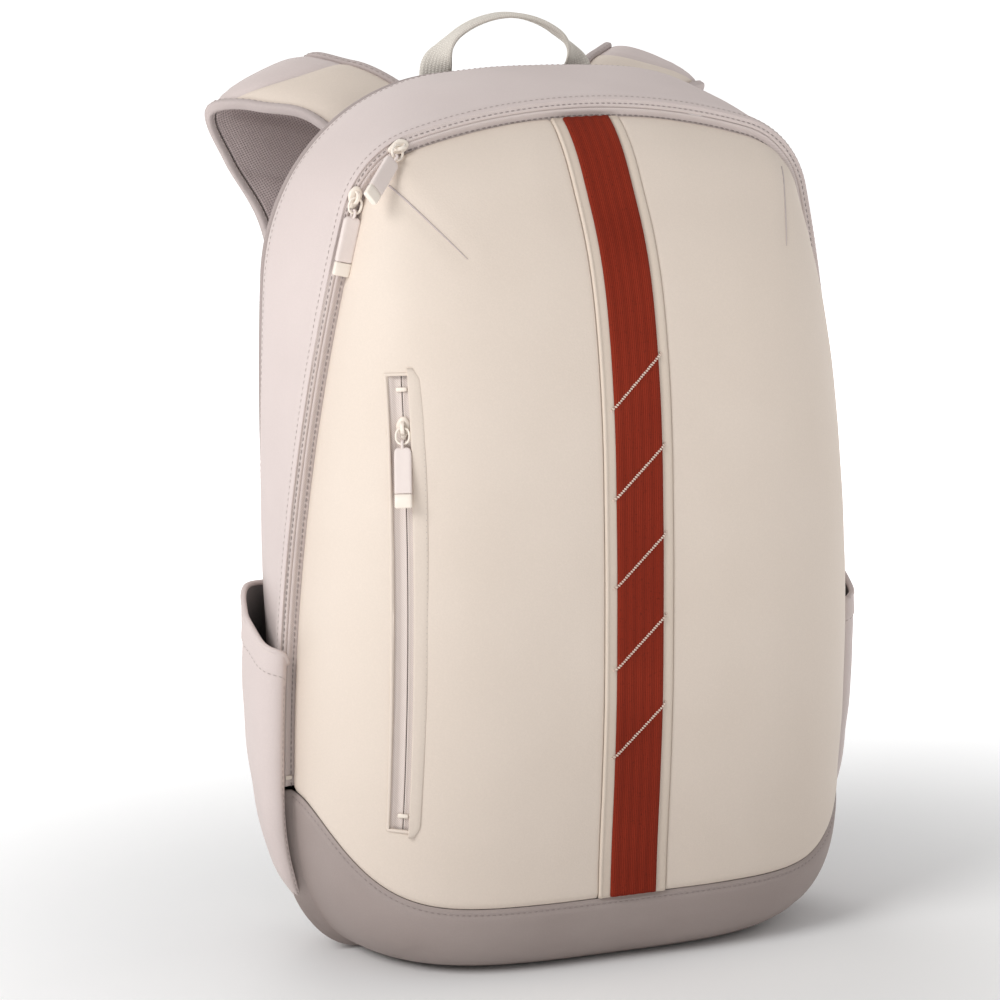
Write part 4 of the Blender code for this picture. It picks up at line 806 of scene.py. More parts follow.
def make_strip():
    top = in_arc(STRIP_HALF) - 0.0008
    outer = strip_rows(STRIP_HALF, SEAM_FRONT_Z, top, 170, 44, ridge, 0.0006)
    inner = strip_rows(STRIP_HALF, SEAM_FRONT_Z, top, 170, 44, lambda x, z: 0.0, -0.0014)
    s = Sheet()
    s.shell(outer, inner)
    strip = s.make("shell_centre_strip", [M["cream_strip"], M["lining"]])
    place(strip, "front_flap", "centre_strip", slot="cream_shell")
    outer = strip_rows(WEBBING_HALF, SEAM_FRONT_Z + 0.0005, top - 0.0005, 200, 44, ribs, 0.0022)
    inner = strip_rows(WEBBING_HALF, SEAM_FRONT_Z + 0.0005, top - 0.0005, 200, 44, lambda x, z: 0.0, 0.0010)
    s = Sheet()
    s.shell(outer, inner, lining=0)
    web = s.make("webbing_stripe", [M["rust"]])
    place(web, "front_flap", "stripe_webbing", slot="rust_webbing")
    # slanted bars of satin stitch, thread laid beside thread
    for k, z0 in enumerate(STITCH_HEIGHTS):
        s = Sheet()
        count = 30
        for q in range(count):
            x = mix(-0.0162, 0.0162, (q + 0.5) / count)
            z = z0 + x * 0.92
            p = strip_surface(x, z)
            base = strip_surface(x + 0.0007, z + 0.0009) - strip_surface(x - 0.0007, z - 0.0009)
            along = base.normalized()
            up = Vector((1, 0, 0)).cross(strip_surface(x, z + 0.001) - strip_surface(x, z - 0.001)).normalized()
            up = up if up.y < 0 else -up
            across = (along.cross(up)).normalized() + along * RANDOM.uniform(0.25, 0.5)
            across.normalize()
            on_web = abs(x) < WEBBING_HALF
            lift = 0.0026 if on_web else mix(0.0026, 0.0011, clamp((abs(x) - WEBBING_HALF) / 0.0012))
            rings = []
            wide = 0.00085 * RANDOM.uniform(0.9, 1.12)
            for t, w in ((-1, 0.35), (-0.7, 0.85), (0, 1.0), (0.7, 0.85), (1, 0.35)):
                c = p + up * (lift - 0.0006 * t * t) + across * wide * t
                side = across.cross(up).normalized()
                rings.append([c + side * 0.00055 * w * cos(2 * pi * m / 6) + up * 0.00048 * w * sin(2 * pi * m / 6)
                              for m in range(6)])
            s.rings(rings)
        bar = s.make("satin_bar_%d" % (k + 1), [M["satin"]])
        place(bar, "front_flap", "accent_stitch_%d" % (k + 1), slot="stitch_thread")


# ---------------------------------------------------------------- front pocket
def make_pocket(find, track):
    half = track[4]
    radius = track[1]
    tip = 0.0015 / radius
    sink = POCKET_SINK

    def tape(name, node, c0, c1):
        rows, low = [], []
        for k in range(121):
            a = mix(-half - 2 * tip, half + 2 * tip, k / 120)
            top_row, low_row = [], []
            for j in range(13):
                t = j / 12
                c = mix(c0, c1, t)
                inner = abs(c) < abs(c1 if abs(c1) < abs(c0) else c0) + 0.0009
                rise = 0.0019 * ease((abs(c) - 0.0030) / 0.0035)
                lift = -sink + 0.0012 + rise * 0.8 + (0.0004 if inner else 0.0)
                top_row.append(on_track(track, a, c, lift))
                low_row.append(on_track(track, a, c, -sink + 0.0005 + rise * 0.8))
            rows.append(top_row)
            low.append(low_row)
        s = Sheet()
        s.shell(rows, low, lining=0)
        # the pocket slot's tape uses the lighter copy: painted light against the slot's shade
        place(s.make(name, [M["tape_painted_lighter"]]), "front_flap", node, slot="zip_tape")

    tape("pocket_tape_outer", "pocket_zip_tape_left", -SLOT_HALF - 0.0008, -0.00025)
    tape("pocket_tape_inner", "pocket_zip_tape_right", 0.00025, SLOT_HALF + 0.0008)
    # coil: two rows of turned wire
    s = Sheet()
    start, end = -half + 2 * tip, half - 2 * tip
    turns = int((end - start) * radius / 0.0013)
    for side in (-1, 1):
        for k in range(turns):
            a = mix(start, end, (k + (0.5 if side > 0 else 0.0)) / turns)
            rings = []
            for t, w in ((-1, 0.5), (-0.5, 1.0), (0.5, 1.0), (1, 0.5)):
                c = on_track(track, a, side * 0.0008 + 0.0009 * t * side, -sink - 0.0014 - 0.0002 * t * t)
                ahead, across, off = track_axes(track, a)
                rings.append([c + ahead * 0.00042 * w * cos(2 * pi * m / 6) + off * 0.0005 * w * sin(2 * pi * m / 6)
                              for m in range(6)])
            s.rings(rings)
    place(s.make("pocket_coil", [M["coil"]]), "front_flap", "pocket_zip_coil", slot="zip_coil")

    # folded lip along the slot's inner side, widening downwards
    def wide(t):
        return 0.0030 + 0.0022 * sin(pi * clamp(t) ** 0.75)

    outer, inner, line, ups = [], [], [], []
    for k in range(141):
        t = k / 140
        a = mix(-half - 0.0035 / radius, half + 0.0035 / radius, t)
        row, under = [], []
        end = SLOT_HALF + wide(t) * ease(min(t, 1 - t) / 0.03 + 0.12)
        start = SLOT_HALF - 0.0034
        for j in range(15):
            u = j / 14
            c = mix(start, end, u)
            p, out = surface_at(find, on_track(track, a, c, 0.0))
            h = 0.0021 * (1 - u) ** 0.6 * ease(u / 0.05 + 0.35) + 0.0003
            h += 0.0002 * wave(p, 0.012, 5) * (1 - u)
            row.append(p + out * h)
            under.append(p + out * 0.00005)
        outer.append(row)
        inner.append(under)
        p, out = surface_at(find, on_track(track, a, end - 0.0010, 0.0))
        line.append(p + out * 0.0006)
        ups.append(out)
    s = Sheet()
    s.shell(outer, inner, lining=0)
    place(s.make("pocket_lip", [M["cream"]]), "front_flap", "pocket_welt", slot="cream_shell")
    stitches("pocket_lip_stitches", line, ups, M["thread_mid"], "front_flap", 0.0032, 0.0021, 0.00026)
    # narrow folds round the rest of the slot
    path, ups = [], []

    def add(a, c, lift=0.0003):
        p, out = surface_at(find, on_track(track, a, c, 0.0))
        path.append(p + out * lift)
        ups.append(out)
    reach = half + 0.0006 / radius
    for k in range(8):
        add(-reach, mix(SLOT_HALF - 0.0005, -SLOT_HALF + 0.0012, k / 7))
    for k in range(141):
        add(mix(-reach, reach, k / 140), -SLOT_HALF - 0.0004 - 0.0007 * sin(pi * k / 140))
    for k in range(8):
        add(reach, mix(-SLOT_HALF + 0.0012, SLOT_HALF - 0.0005, k / 7))
    s = Sheet()
    s.sweep(path, ups, round_section(0.0007, 0.0010, 8))
    place(s.make("pocket_fold", [M["cream"]]), "front_flap", slot="cream_shell")
    for name, node, a in (("pocket_stop_head", "pocket_zip_stop_top", -half + 5 * tip),
                          ("pocket_stop_foot", "pocket_zip_stop_foot", half - 5 * tip)):
        s = Sheet()
        ahead, across, off = track_axes(track, a)
        rings = []
        for t, w in ((-1, 0.7), (-0.8, 1), (0.8, 1), (1, 0.7)):
            c = on_track(track, a, 0.0030 * t, -sink + 0.0025)
            rings.append([c + ahead * 0.0012 * w * p + off * 0.0007 * w * q for p, q in
                          round_section(1, 1, 10, 0.6)])
        s.rings(rings)
        place(s.make(name, [M["hardware"]]), "front_flap", node, slot="cream_hardware")


def make_darts(find):
    """The short dart seams at the panel's upper corners, drawn as half-sunk tubes of the darker binding cloth: painted
    shade along each crease.
    """
    for (a, b), name, sign in ((DARTS[0], "dart_left", -1), (DARTS[1], "dart_right", 1)):
        path, ups, sections = [], [], []
        for k in range(41):
            t = k / 40
            x, z = mix(a[0], b[0], t), mix(a[1], b[1], t)
            p, out = find(x, z, sign)
            w = 0.00055 * (1 - t) ** 0.4 + 0.0001
            path.append(p - out * (0.0004 * (1 - 0.5 * t)))
            ups.append(out)
            sections.append([(0.0006 * q, w * r) for q, r in round_section(1, 1, 8)])
        s = Sheet()
        s.sweep(path, ups, sections)
        # painted shade: the darker binding cloth draws the dart's crease as a dark line
        place(s.make(name, [M["binding"]]), "front_flap", slot="cream_shell")


# ---------------------------------------------------------------- main zip
def ribbon(name, node, body, lo, hi, relief, material):
    """A band that follows the opening between two distances outside the panel's edge."""
    columns = 12
    lines = [edge_line(mix(lo, hi, j / columns), foot_z=SEAM_CORNER_Z + 0.001) for j in range(columns + 1)]
    outer, inner = [], []
    for k in range(len(lines[0])):
        outer.append([in_plane(*lines[j][k], TAPE_LIFT + relief(mix(lo, hi, j / columns)))
                      for j in range(columns + 1)])
        inner.append([in_plane(*lines[j][k], TAPE_LIFT - TAPE) for j in range(columns + 1)])
    s = Sheet()
    s.shell(outer, inner, lining=0)
    return place(s.make(name, [material]), body, node, slot="zip_tape")


def make_main_zip():
    def inner_relief(d):
        return 0.0008 + 0.0005 * bump(d - 0.0038, 0.0010) - 0.0003 * bump(d - 0.0012, 0.0008)

    def outer_relief(d):
        return 0.0008 + 0.0005 * bump(d - 0.0062, 0.0010) - 0.0002 * bump(d - 0.0076, 0.0008)

    ribbon("zip_band_inner", "main_zip_tape_inner", "front_flap", -0.004, 0.0049, inner_relief, M["tape"])
    ribbon("zip_band_outer", "main_zip_tape_outer", "bag", 0.0051, 0.0094, outer_relief, M["tape"])
    for name, node, body, offset in (("zip_turns_inner", "main_zip_coil_inner", "front_flap", 0.0039),
                                     ("zip_turns_outer", "main_zip_coil_outer", "bag", 0.0061)):
        line = Line([in_plane(x, w, TAPE_LIFT - 0.0018) for x, w in edge_line(offset, foot_z=SEAM_CORNER_Z + 0.006)])
        s = Sheet()
        count = int(line.length / 0.0016)
        for k in range(count):
            c = line.share((k + 0.5) / count)
            ahead = (line.share((k + 0.9) / count) - line.share((k + 0.1) / count)).normalized()
            side = ahead.cross(PLANE_OUT).normalized()
            rings = []
            for t, w in ((-1, 0.5), (-0.5, 1.0), (0.5, 1.0), (1, 0.5)):
                q = c + side * 0.0008 * t
                rings.append([q + ahead * 0.0005 * w * cos(2 * pi * m / 5)
                              + PLANE_OUT * 0.0005 * w * sin(2 * pi * m / 5)
                              for m in range(5)])
            s.rings(rings)
        place(s.make(name, [M["coil"]]), body, node, slot="zip_coil")
    for name, offset, body in (("zip_stitches_inner", 0.0009, "front_flap"), ("zip_stitches_outer", 0.0072, "bag")):
        path = [in_plane(x, w, TAPE_LIFT + 0.0009) for x, w in edge_line(offset)]
        stitches(name, path, [PLANE_OUT] * len(path), M["thread"], body, *SEAM_STITCH, 0.0003)


# ---------------------------------------------------------------- sliders and pullers
def side_arc(angle, lift):
    """Place, outward and onward directions on the zip's -X side arc."""
    r = EDGE_SIDE_R + ZIP_CENTRE
    x, w = SIDE_C[0] + r * cos(angle), SIDE_C[1] + r * sin(angle)
    out = Vector((-cos(angle), 0, 0)) + PLANE_UP * sin(angle)
    down = Vector((-sin(angle), 0, 0)) - PLANE_UP * cos(angle)
    return in_plane(-x, w, lift), out, down


def top_arc(angle, lift):
    r = EDGE_TOP_R + ZIP_CENTRE
    x, w = TOP_C[0] + r * cos(angle), TOP_C[1] + r * sin(angle)
    out = Vector((cos(angle), 0, 0)) + PLANE_UP * sin(angle)
    down = Vector((-sin(angle), 0, 0)) + PLANE_UP * cos(angle)
    return in_plane(x, w, lift), out, down


RING_WIRE, RING_HALF, RING_LONG = 0.0007, 0.0036, 0.0042
GRIP = (0.0046, 0.0122, 0.0017)
CAP_LONG = 0.0036


def torus(s, centre, a, b, ra, rb, wire, n=40, m=10, power=1.0):
    path = []
    for k in range(n):
        t = 2 * pi * k / n
        c, d = cos(t), sin(t)
        path.append(centre + a * ra * abs(c) ** power * (1 if c > 0 else -1)
                    + b * rb * abs(d) ** power * (1 if d > 0 else -1))
    across = a.cross(b).normalized()
    s.sweep(path, [across] * n, round_section(wire, wire, m), closed=True)


def slab(s, centre, along, side, up, ends, half, high, power=0.35, n=28, dish=0.0):
    """A rounded bar: superellipse sections along its length."""
    rings = []
    for t, w, h in ends:
        ring = []
        for p, q in round_section(1, 1, n, power):
            lift = q * high * h
            if q > 0.5 and abs(p) < 0.7:
                lift -= dish * h * (1 - (p / 0.7) ** 2)
            ring.append(centre + along * t + side * half * w * p + up * lift)
        rings.append(ring)
    s.rings(rings)


def make_slider(prefix, seat, run, across, hang, lift_axis, body):
    s = Sheet()
    rings = []
    # body: a rounded wedge, broad at the head, drawn in at the waist
    for h, w in ((0.0, 0.96), (0.0003, 1.0), (0.0011, 0.98), (0.0016, 0.88), (0.0019, 0.70)):
        ring = []
        for k in range(40):
            t = 2 * pi * k / 40
            c, d = cos(t), sin(t)
            x = c * 0.0062
            shape = 0.0024 + 0.0017 * (0.5 + 0.5 * cos((x + 0.0018) / 0.0062 * 2.6))
            y = d * shape * (abs(d) ** -0.25 if abs(d) > 0.05 else 1.0)
            y = clamp(y, -shape, shape)
            ring.append(seat + run * x * w + across * y * w + lift_axis * h)
        rings.append(ring)
    s.rings(rings)
    # bridge that carries the ring, an arch from head to waist
    eye = seat + lift_axis * 0.0035
    arch = []
    for k in range(17):
        t = pi * k / 16
        arch.append(seat + run * (-0.0001 - 0.0031 * cos(t)) + lift_axis * (0.0014 + 0.0037 * sin(t) ** 0.8))
    s.sweep(arch, [across] * len(arch), round_section(0.0011, 0.00075, 12, 0.6))
    place(sharpen(s.make(prefix + "_slide", [M["hardware"]])), body + "_slider", prefix + "_slider",
          slot="cream_hardware")
    side = hang.cross(lift_axis).normalized()
    up = side.cross(hang).normalized()
    up = up if up.dot(lift_axis) > 0 else -up
    ring_centre = eye + hang * (RING_LONG - 0.0002)
    s = Sheet()
    torus(s, ring_centre, side, hang, RING_HALF, RING_LONG, RING_WIRE, 44, 10, 0.85)
    place(s.make(prefix + "_link", [M["hardware"]]), body + "_puller", prefix + "_ring", slot="cream_hardware")
    foot = ring_centre + hang * RING_LONG
    grip_centre = foot + hang * (0.0020 + GRIP[1])
    s = Sheet()
    long = GRIP[1]
    slab(s, grip_centre, hang, side, up,
         [(-long, 0.60, 0.55), (-long * 0.975, 0.74, 0.80), (-long * 0.90, 0.90, 0.96), (-long * 0.80, 0.99, 1.0),
          (-long * 0.5, 1.0, 1.0), (0, 1.0, 1.0), (long * 0.5, 1.0, 1.0), (long * 0.93, 1.0, 1.0),
          (long * 0.985, 0.98, 0.92), (long, 0.94, 0.80)], GRIP[0], GRIP[2], 0.35, 32, 0.00018)
    torus(s, foot + hang * 0.0004, hang, up, 0.0021, 0.0019, 0.0008, 32, 10)
    place(sharpen(s.make(prefix + "_rubber", [M["grip"]]), 50), body + "_puller", prefix + "_grip",
          slot="puller_grip")
    cap_centre = grip_centre + hang * (long + 0.0004 + CAP_LONG)
    s = Sheet()
    c = CAP_LONG
    slab(s, cap_centre, hang, side, up,
         [(-c, 0.95, 0.85), (-c * 0.92, 1.0, 1.0), (0, 1.0, 1.0), (c * 0.75, 1.0, 1.0), (c * 0.94, 0.96, 0.9),
          (c, 0.86, 0.7)], GRIP[0], GRIP[2], 0.35, 32)
    place(sharpen(s.make(prefix + "_end", [M["hardware"]]), 50), body + "_puller", prefix + "_cap",
          slot="cream_hardware")


def make_sliders(track):
    park = SIDE_START + 0.0080 / (EDGE_SIDE_R + ZIP_CENTRE)
    seat, out, down = side_arc(park, 0.0004)
    make_slider("side_zip", seat, down, out, (down - out * 0.02 + PLANE_OUT * 0.03).normalized(), PLANE_OUT, "side_zip")
    park = pi - TOP_END + 0.0085 / (EDGE_TOP_R + ZIP_CENTRE)
    seat, out, down = top_arc(park, 0.0004)
    hang = (Vector((-sin(radians(50)), 0, 0)) - PLANE_UP * cos(radians(50)) + PLANE_OUT * 0.65).normalized()
    make_slider("top_zip", seat, down, out, hang, PLANE_OUT, "top_zip")
    angle = -track[4] + 0.028 / track[1]
    seat = on_track(track, angle, 0.0, -POCKET_SINK + 0.0015)
    down, across, radial = track_axes(track, angle)
    make_slider("pocket", seat, down, across, (down + radial * 0.18).normalized(), radial, "pocket")


# ---------------------------------------------------------------- gusset
GUSSET_COUNTS = (34, 22, 70)
SHARES = [0, .006, .013, .022, .034, .048] + [.048 + .904 * k / 24 for k in range(1, 24)] \
    + [1 - s for s in (.048, .034, .022, .013, .006, 0)]
TOPSTITCH = 0.0115
MIDDLE = Vector((0, 0.03, 0.25))


def flipped(points):
    return [Vector((-p.x, p.y, p.z)) for p in points]


def sided(sign, *paths):
    """The paths themselves for the right side, mirrored for the left."""
    return paths if sign > 0 else [flipped(p) for p in paths]


def back_half_line(foot_z):
    outline = [p for p in back_line(0.0, (30, 30, 60, 20, 20)) if p[0] >= 0 and p[1] >= foot_z]
    outline.sort(key=lambda p: (-p[1], p[0]))
    outline.append((outline[-1][0], foot_z))
    line = Line(outline)
    at = Line([p for p in edge_line(ZIP_BAND, GUSSET_COUNTS) if p[0] >= 0]).at
    half = [line.share(s / at[-1]) for s in at]
    return [Vector((-p[0], p[1])) for p in half[:0:-1]] + half


def gusset_rows(foot_z=SEAM_CORNER_Z + 0.0006, shares=SHARES):
    rows = []
    for (x, w), q in zip(edge_line(ZIP_BAND, GUSSET_COUNTS, foot_z), back_half_line(foot_z)):
        a, b = in_plane(x, w, -0.0002), Vector((q[0], BACK_Y, q[1]))
        out = Vector((q[0], 0, max(q[1] - 0.30, 0) * 0.9))
        out = out.lerp(Vector((a.x, 0, 0)), 0.5 * ease((abs(a.x) - 0.130) / 0.020)).normalized()
        rows.append([a.lerp(b, t) + out * GUSSET_BULGE * (1 - (1 - t) ** 2) * (1 - t ** 8) ** 0.8 for t in shares])
    return rows


def outward(grid, closed=False):
    """Normals that point away from the bag's middle."""
    n = grid_normals(grid, closed)
    i, j = len(grid) // 2, len(grid[0]) // 2
    turn = 1 if n[i][j].dot(grid[i][j] - MIDDLE) > 0 else -1
    return [[q * turn for q in row] for row in n]


def make_gusset():
    rows = gusset_rows()
    n = outward(rows)
    outer, inner, front_path, front_up, back_path, back_up = [], [], [], [], [], []
    for row, nrow in zip(rows, n):
        at = Line(row).at
        a, b = [], []
        for p, q, s in zip(row, nrow, at):
            f, r = s, at[-1] - s
            h = -0.0007 * (1 - ease(f / 0.0022)) + 0.0005 * bump(f - 0.0048, 0.0035) - 0.0003 * bump(f - 0.0030, 0.0007)
            h += (-0.0006 * (1 - ease(r / 0.0022)) - 0.00045 * bump(r - TOPSTITCH, 0.0010)
                  + 0.0004 * bump(r - TOPSTITCH - 0.0040, 0.003))
            calm = ease(min(f, r) / 0.016)
            h += calm * (0.0011 * wave(p, 0.090, 11) + 0.00035 * wave(p, 0.028, 4))
            # shallow tension folds down from the top corners
            d = abs(abs(p.x) - 0.118 - 0.25 * (p.y - 0.03))
            h -= 0.0007 * calm * bump(d, 0.012) * ease((p.z - 0.40) / 0.03)
            a.append(p + q * h)
            b.append(p - q * FABRIC)
        outer.append(a)
        inner.append(b)
        line = Line(a)
        front_path.append(line.where(0.0030))
        back_path.append(line.where(line.length - TOPSTITCH))
        front_up.append(nrow[2])
        back_up.append(nrow[-8])
    s = Sheet()
    s.shell(outer, inner)
    place(s.make("shell_gusset", [M["taupe"], M["lining"]]), "bag", "gusset", slot="taupe_shell")
    stitches("gusset_stitches_front", front_path, front_up, M["thread_mid"], "bag", *SEAM_STITCH, 0.00026)
    stitches("gusset_stitches_back", back_path, back_up, M["thread_mid"], "bag", *SEAM_STITCH, 0.00028)


# ---------------------------------------------------------------- base
def base_rim(front=64, shares=None):
    shares = shares or [k / 22 for k in range(23)]
    inner = STRIP_HALF + GAP
    half = [front_point(sin(j / front * pi / 2), 0.0, inner) for j in range(front + 1)]
    half[-1] = Vector((EDGE_HALF + GAP, half[-1].y, SEAM_CORNER_Z))
    middle = [strip_surface(x, SEAM_FRONT_Z) for x in (-0.014, -0.007, 0.0, 0.007, 0.014)]
    side = [Vector((p.x, min(p.y, BACK_Y - 0.0012), SEAM_CORNER_Z))
            for p in gusset_rows(SEAM_CORNER_Z, shares=shares)[-1]]
    ring = flipped(reversed(half)) + middle + half + side
    last = ring[-1]
    back_steps = 36
    for k in range(1, back_steps):
        t = 1 - 2 * k / back_steps
        ring.append(Vector((last.x * t, BACK_Y - 0.0006 - 0.0006 * abs(t), SEAM_CORNER_Z)))
    ring += flipped(reversed(side))
    for p in ring:
        p.z -= GAP * (1 + 3 * min(abs(p.x) / EDGE_HALF, 1) ** 16)
    return ring


def base_floor(ring):
    room = (EDGE_HALF + ZIP_BAND - BASE_FLOOR_INSET) / (EDGE_HALF + ZIP_BAND)
    lowest = plane_y(0) - 0.063
    return [Vector((p.x * room, mix(lowest, BACK_Y - BASE_BACK_INSET, clamp((p.y + 0.066) / (BACK_Y + 0.066))), 0))
            for p in ring]


def base_curve(rim, low, step):
    a = step * pi / 2
    wide = sin(a) ** (2 / BASE_ROUND)
    high = 1 - cos(a) ** (2 / BASE_ROUND)
    return Vector((mix(low.x, rim.x, wide), mix(low.y, rim.y, wide), rim.z * high))


BASE_AT = [k / 34 for k in range(32)] + [0.93, 0.945, 0.957, 0.967, 0.975, 0.982, 0.988, 0.993, 0.997, 1.0]
BASE_CREASE = (Vector((0.1168, -0.0386, 0.0159)), Vector((0.1203, -0.0166, 0.0060)))


def make_base():
    ring = base_rim()
    low = base_floor(ring)
    count = len(ring)

    def cup(inset):
        grid = [[] for _ in BASE_AT]
        for j, (rim, foot) in enumerate(zip(ring, low)):
            run = ring[(j + 1) % count] - ring[j - 1]
            inward = Vector((-run.y, run.x, 0)).normalized() * inset
            for s, at in enumerate(BASE_AT):
                p = base_curve(rim + inward, foot + inward, at)
                p.z = inset + p.z * (rim.z - inset) / rim.z
                grid[s].append(p)
        return grid

    grid, inner = cup(0.0), cup(BASE_WALL)
    n = outward(grid, True)
    outer = [[None] * count for _ in grid]
    path, ups = [], []
    for j in range(count):
        column = Line([row[j] for row in grid])
        for i, row in enumerate(grid):
            p, q = row[j], n[i][j]
            d = column.length - column.at[i]
            h = -0.0008 * (1 - ease(d / 0.0022)) - 0.0004 * bump(d - 0.0032, 0.0008) + 0.0004 * bump(d - 0.0062, 0.003)
            calm = ease(d / 0.014) * ease(p.z / 0.012)
            h += calm * (0.0012 * wave(p, 0.080, 21) + 0.0004 * wave(p, 0.030, 9))
            a, b = BASE_CREASE
            e, v = b - a, Vector((abs(p.x), p.y, p.z)) - a
            t = clamp(v.dot(e) / e.dot(e))
            d2 = (v - e * t).length
            h -= 0.0010 * bump(d2, 0.0035) * (0.4 + 0.6 * t) * ease(p.z / 0.003)
            if i == 0:
                h = 0.0
            outer[i][j] = p + q * h
        line = Line([row[j] for row in outer])
        path.append(line.where(line.length - 0.0032))
        ups.append(n[-4][j])
    s = Sheet()
    a = s.grid(outer, 0, closed=True)
    b = s.grid(inner, 1, True, closed=True)
    s.face([a + j for j in range(count)][::-1], 0)
    s.face([b + j for j in range(count)], 1)
    top = (len(grid) - 1) * count
    for j in range(count):
        k = (j + 1) % count
        s.face([a + top + j, a + top + k, b + top + k, b + top + j], 0)
    place(s.make("shell_base", [M["base"], M["lining"]]), "bag", "base_tub", slot="base_shell")
    stitches("base_stitches", path + [path[0]], ups + [ups[0]], M["thread"], "bag", *SEAM_STITCH, 0.00028)


# ---------------------------------------------------------------- side pockets
def make_side_pockets():
    gusset = gusset_rows(SEAM_CORNER_Z, shares=[k / 36 for k in range(37)])
    ring = base_rim(64, [k / 36 for k in range(37)])
    floor_at = base_floor(ring)
    corner = 2 * 65 + 5 - 1
    right = gusset[len(gusset) // 2:]
    edge = edge_line(ZIP_CENTRE + 0.0007, GUSSET_COUNTS, SEAM_CORNER_Z)

    def column(k):
        """The bag's side from the foot upwards: k -1 on the zip, 0 to 36 across the gusset."""
        at = corner + 1 + k
        low = [base_curve(ring[at], floor_at[at], s / 40) for s in range(4, 41)]
        if k < 0:
            low = [p + Vector((ZIP_CENTRE, 0, 0)) for p in low]
            high = [in_plane(x, w, 0.0006) for x, w in reversed(edge[len(edge) // 2:])]
        else:
            high = [row[k] for row in reversed(right)]
        return low[:-1] + high

    front, first = column(-1), column(0)
    columns = []
    for k in range(8):
        columns.append((k / 8 / 7, [a.lerp(b, k / 8) for a, b in zip(front, first)]))
    for k in range(37):
        columns.append(((1 + k / 36 * 6) / 7, column(k)))

    def at_height(points, z):
        for a, b in zip(points, points[1:]):
            if a.z <= z <= b.z:
                return a.lerp(b, (z - a.z) / (b.z - a.z))
        return points[0].copy() if z < points[0].z else points[-1].copy()

    rows = [0, .006, .014, .026] + [.026 + .84 * k / 34 for k in range(1, 35)] \
        + [.885, .905, .917, .925, .933, .942, .955, .97, .983, .992, .997, 1.0]
    grid = []
    for v in rows:
        grid.append([at_height(c, mix(POCKET_FOOT_Z, mix(POCKET_FRONT_Z, POCKET_BACK_Z, min(1.25 * a, 1) ** 0.8), v))
                     for a, c in columns])
    # even out the corner where the pocket leaves the zip for the gusset
    for row in grid:
        for _ in range(6):
            row[1:-1] = [row[k] * 0.5 + (row[k - 1] + row[k + 1]) * 0.25 for k in range(1, len(row) - 1)]
    n = grid_normals(grid)
    skin, lining = [], []
    for i, v in enumerate(rows):
        a_row, b_row = [], []
        for (a, _), p, q in zip(columns, grid[i], n[i]):
            q = q if q.x > 0 else -q
            puff = POCKET_STAND_OFF * sin(pi * clamp(a)) ** 0.7 * sin(pi / 2 * min(v * 1.5, 1)) ** 0.8
            hem = 0.0008 * ease((v - 0.917) / 0.012) - 0.0006 * bump((v - 0.925) * 0.15, 0.0008)
            side = min(a, 1 - a) * 0.08
            h = hem - 0.0006 * (1 - ease(side / 0.0030)) - 0.0005 * bump(side - 0.0042, 0.0010)
            h += -0.0007 * (1 - ease(v * 0.15 / 0.003))
            calm = ease(side / 0.012) * ease(v / 0.1)
            h += calm * (0.0014 * wave(p, 0.060, 33) + 0.0005 * wave(p, 0.022, 6))
            # a slack fold hangs from the mouth's middle
            h += 0.0016 * calm * bump((a - 0.42 - 0.25 * (1 - v)) * 0.08, 0.007) * ease((v - 0.45) / 0.4)
            q = (q + Vector((0, 0, 0.25 * ease((v - 0.9) / 0.1)))).normalized()
            off = mix(0.0002, 0.0012 + FABRIC, ease(v / 0.12))
            a_row.append(p + q * (off + puff + h * ease(v / 0.03)))
            b_row.append(p + q * (off - FABRIC + puff))
        skin.append(a_row)
        lining.append(b_row)
    for sign, name in ((1, "right"), (-1, "left")):
        s = Sheet()
        s.shell(skin, lining)
        place(s.make("pocket_side_" + name, [M["taupe"], M["lining"]], mirror=sign < 0), "bag",
              "side_pocket_" + name, slot="taupe_shell")
        # the hem: a bound edge along the mouth
        path = [(p + q) / 2 + Vector((0, 0, 0.0008)) for p, q in zip(skin[-1], lining[-1])]
        path = path if sign > 0 else flipped(path)
        s = Sheet()
        s.sweep(path, [Vector((sign, 0, 0.3))] * len(path), round_section(0.0017, 0.0015, 12))
        place(s.make("hem_side_" + name, [M["taupe"]]), "bag", "side_pocket_hem_" + name, slot="taupe_shell")
        row = min(range(len(rows)), key=lambda i: abs(rows[i] - 0.925))
        line = [p.copy() for p in skin[row][2:-2]]
        ups = [(p - q).normalized() for p, q in zip(skin[row][2:-2], lining[row][2:-2])]
        line, ups = sided(sign, line, ups)
        stitches("hem_stitches_" + name, line, ups, M["thread_mid"], "bag", *SEAM_STITCH, 0.00027)
        for edge_name, col in (("front", 3), ("back", -3)):
            line = [row[col].copy() for row in skin[1:-8]]
            ups = [(row[col] - low[col]).normalized() for row, low in zip(skin[1:-8], lining[1:-8])]
            line, ups = sided(sign, line, ups)
            stitches("pocket_stitches_%s_%s" % (edge_name, name), line, ups, M["thread_mid"], "bag",
                     *SEAM_STITCH, 0.00027)


# ---------------------------------------------------------------- back
def shrunk(outline, k, centre):
    return [(centre[0] + (x - centre[0]) * k, centre[1] + (z - centre[1]) * k) for x, z in outline]


INFLATE_FRAMES = 20


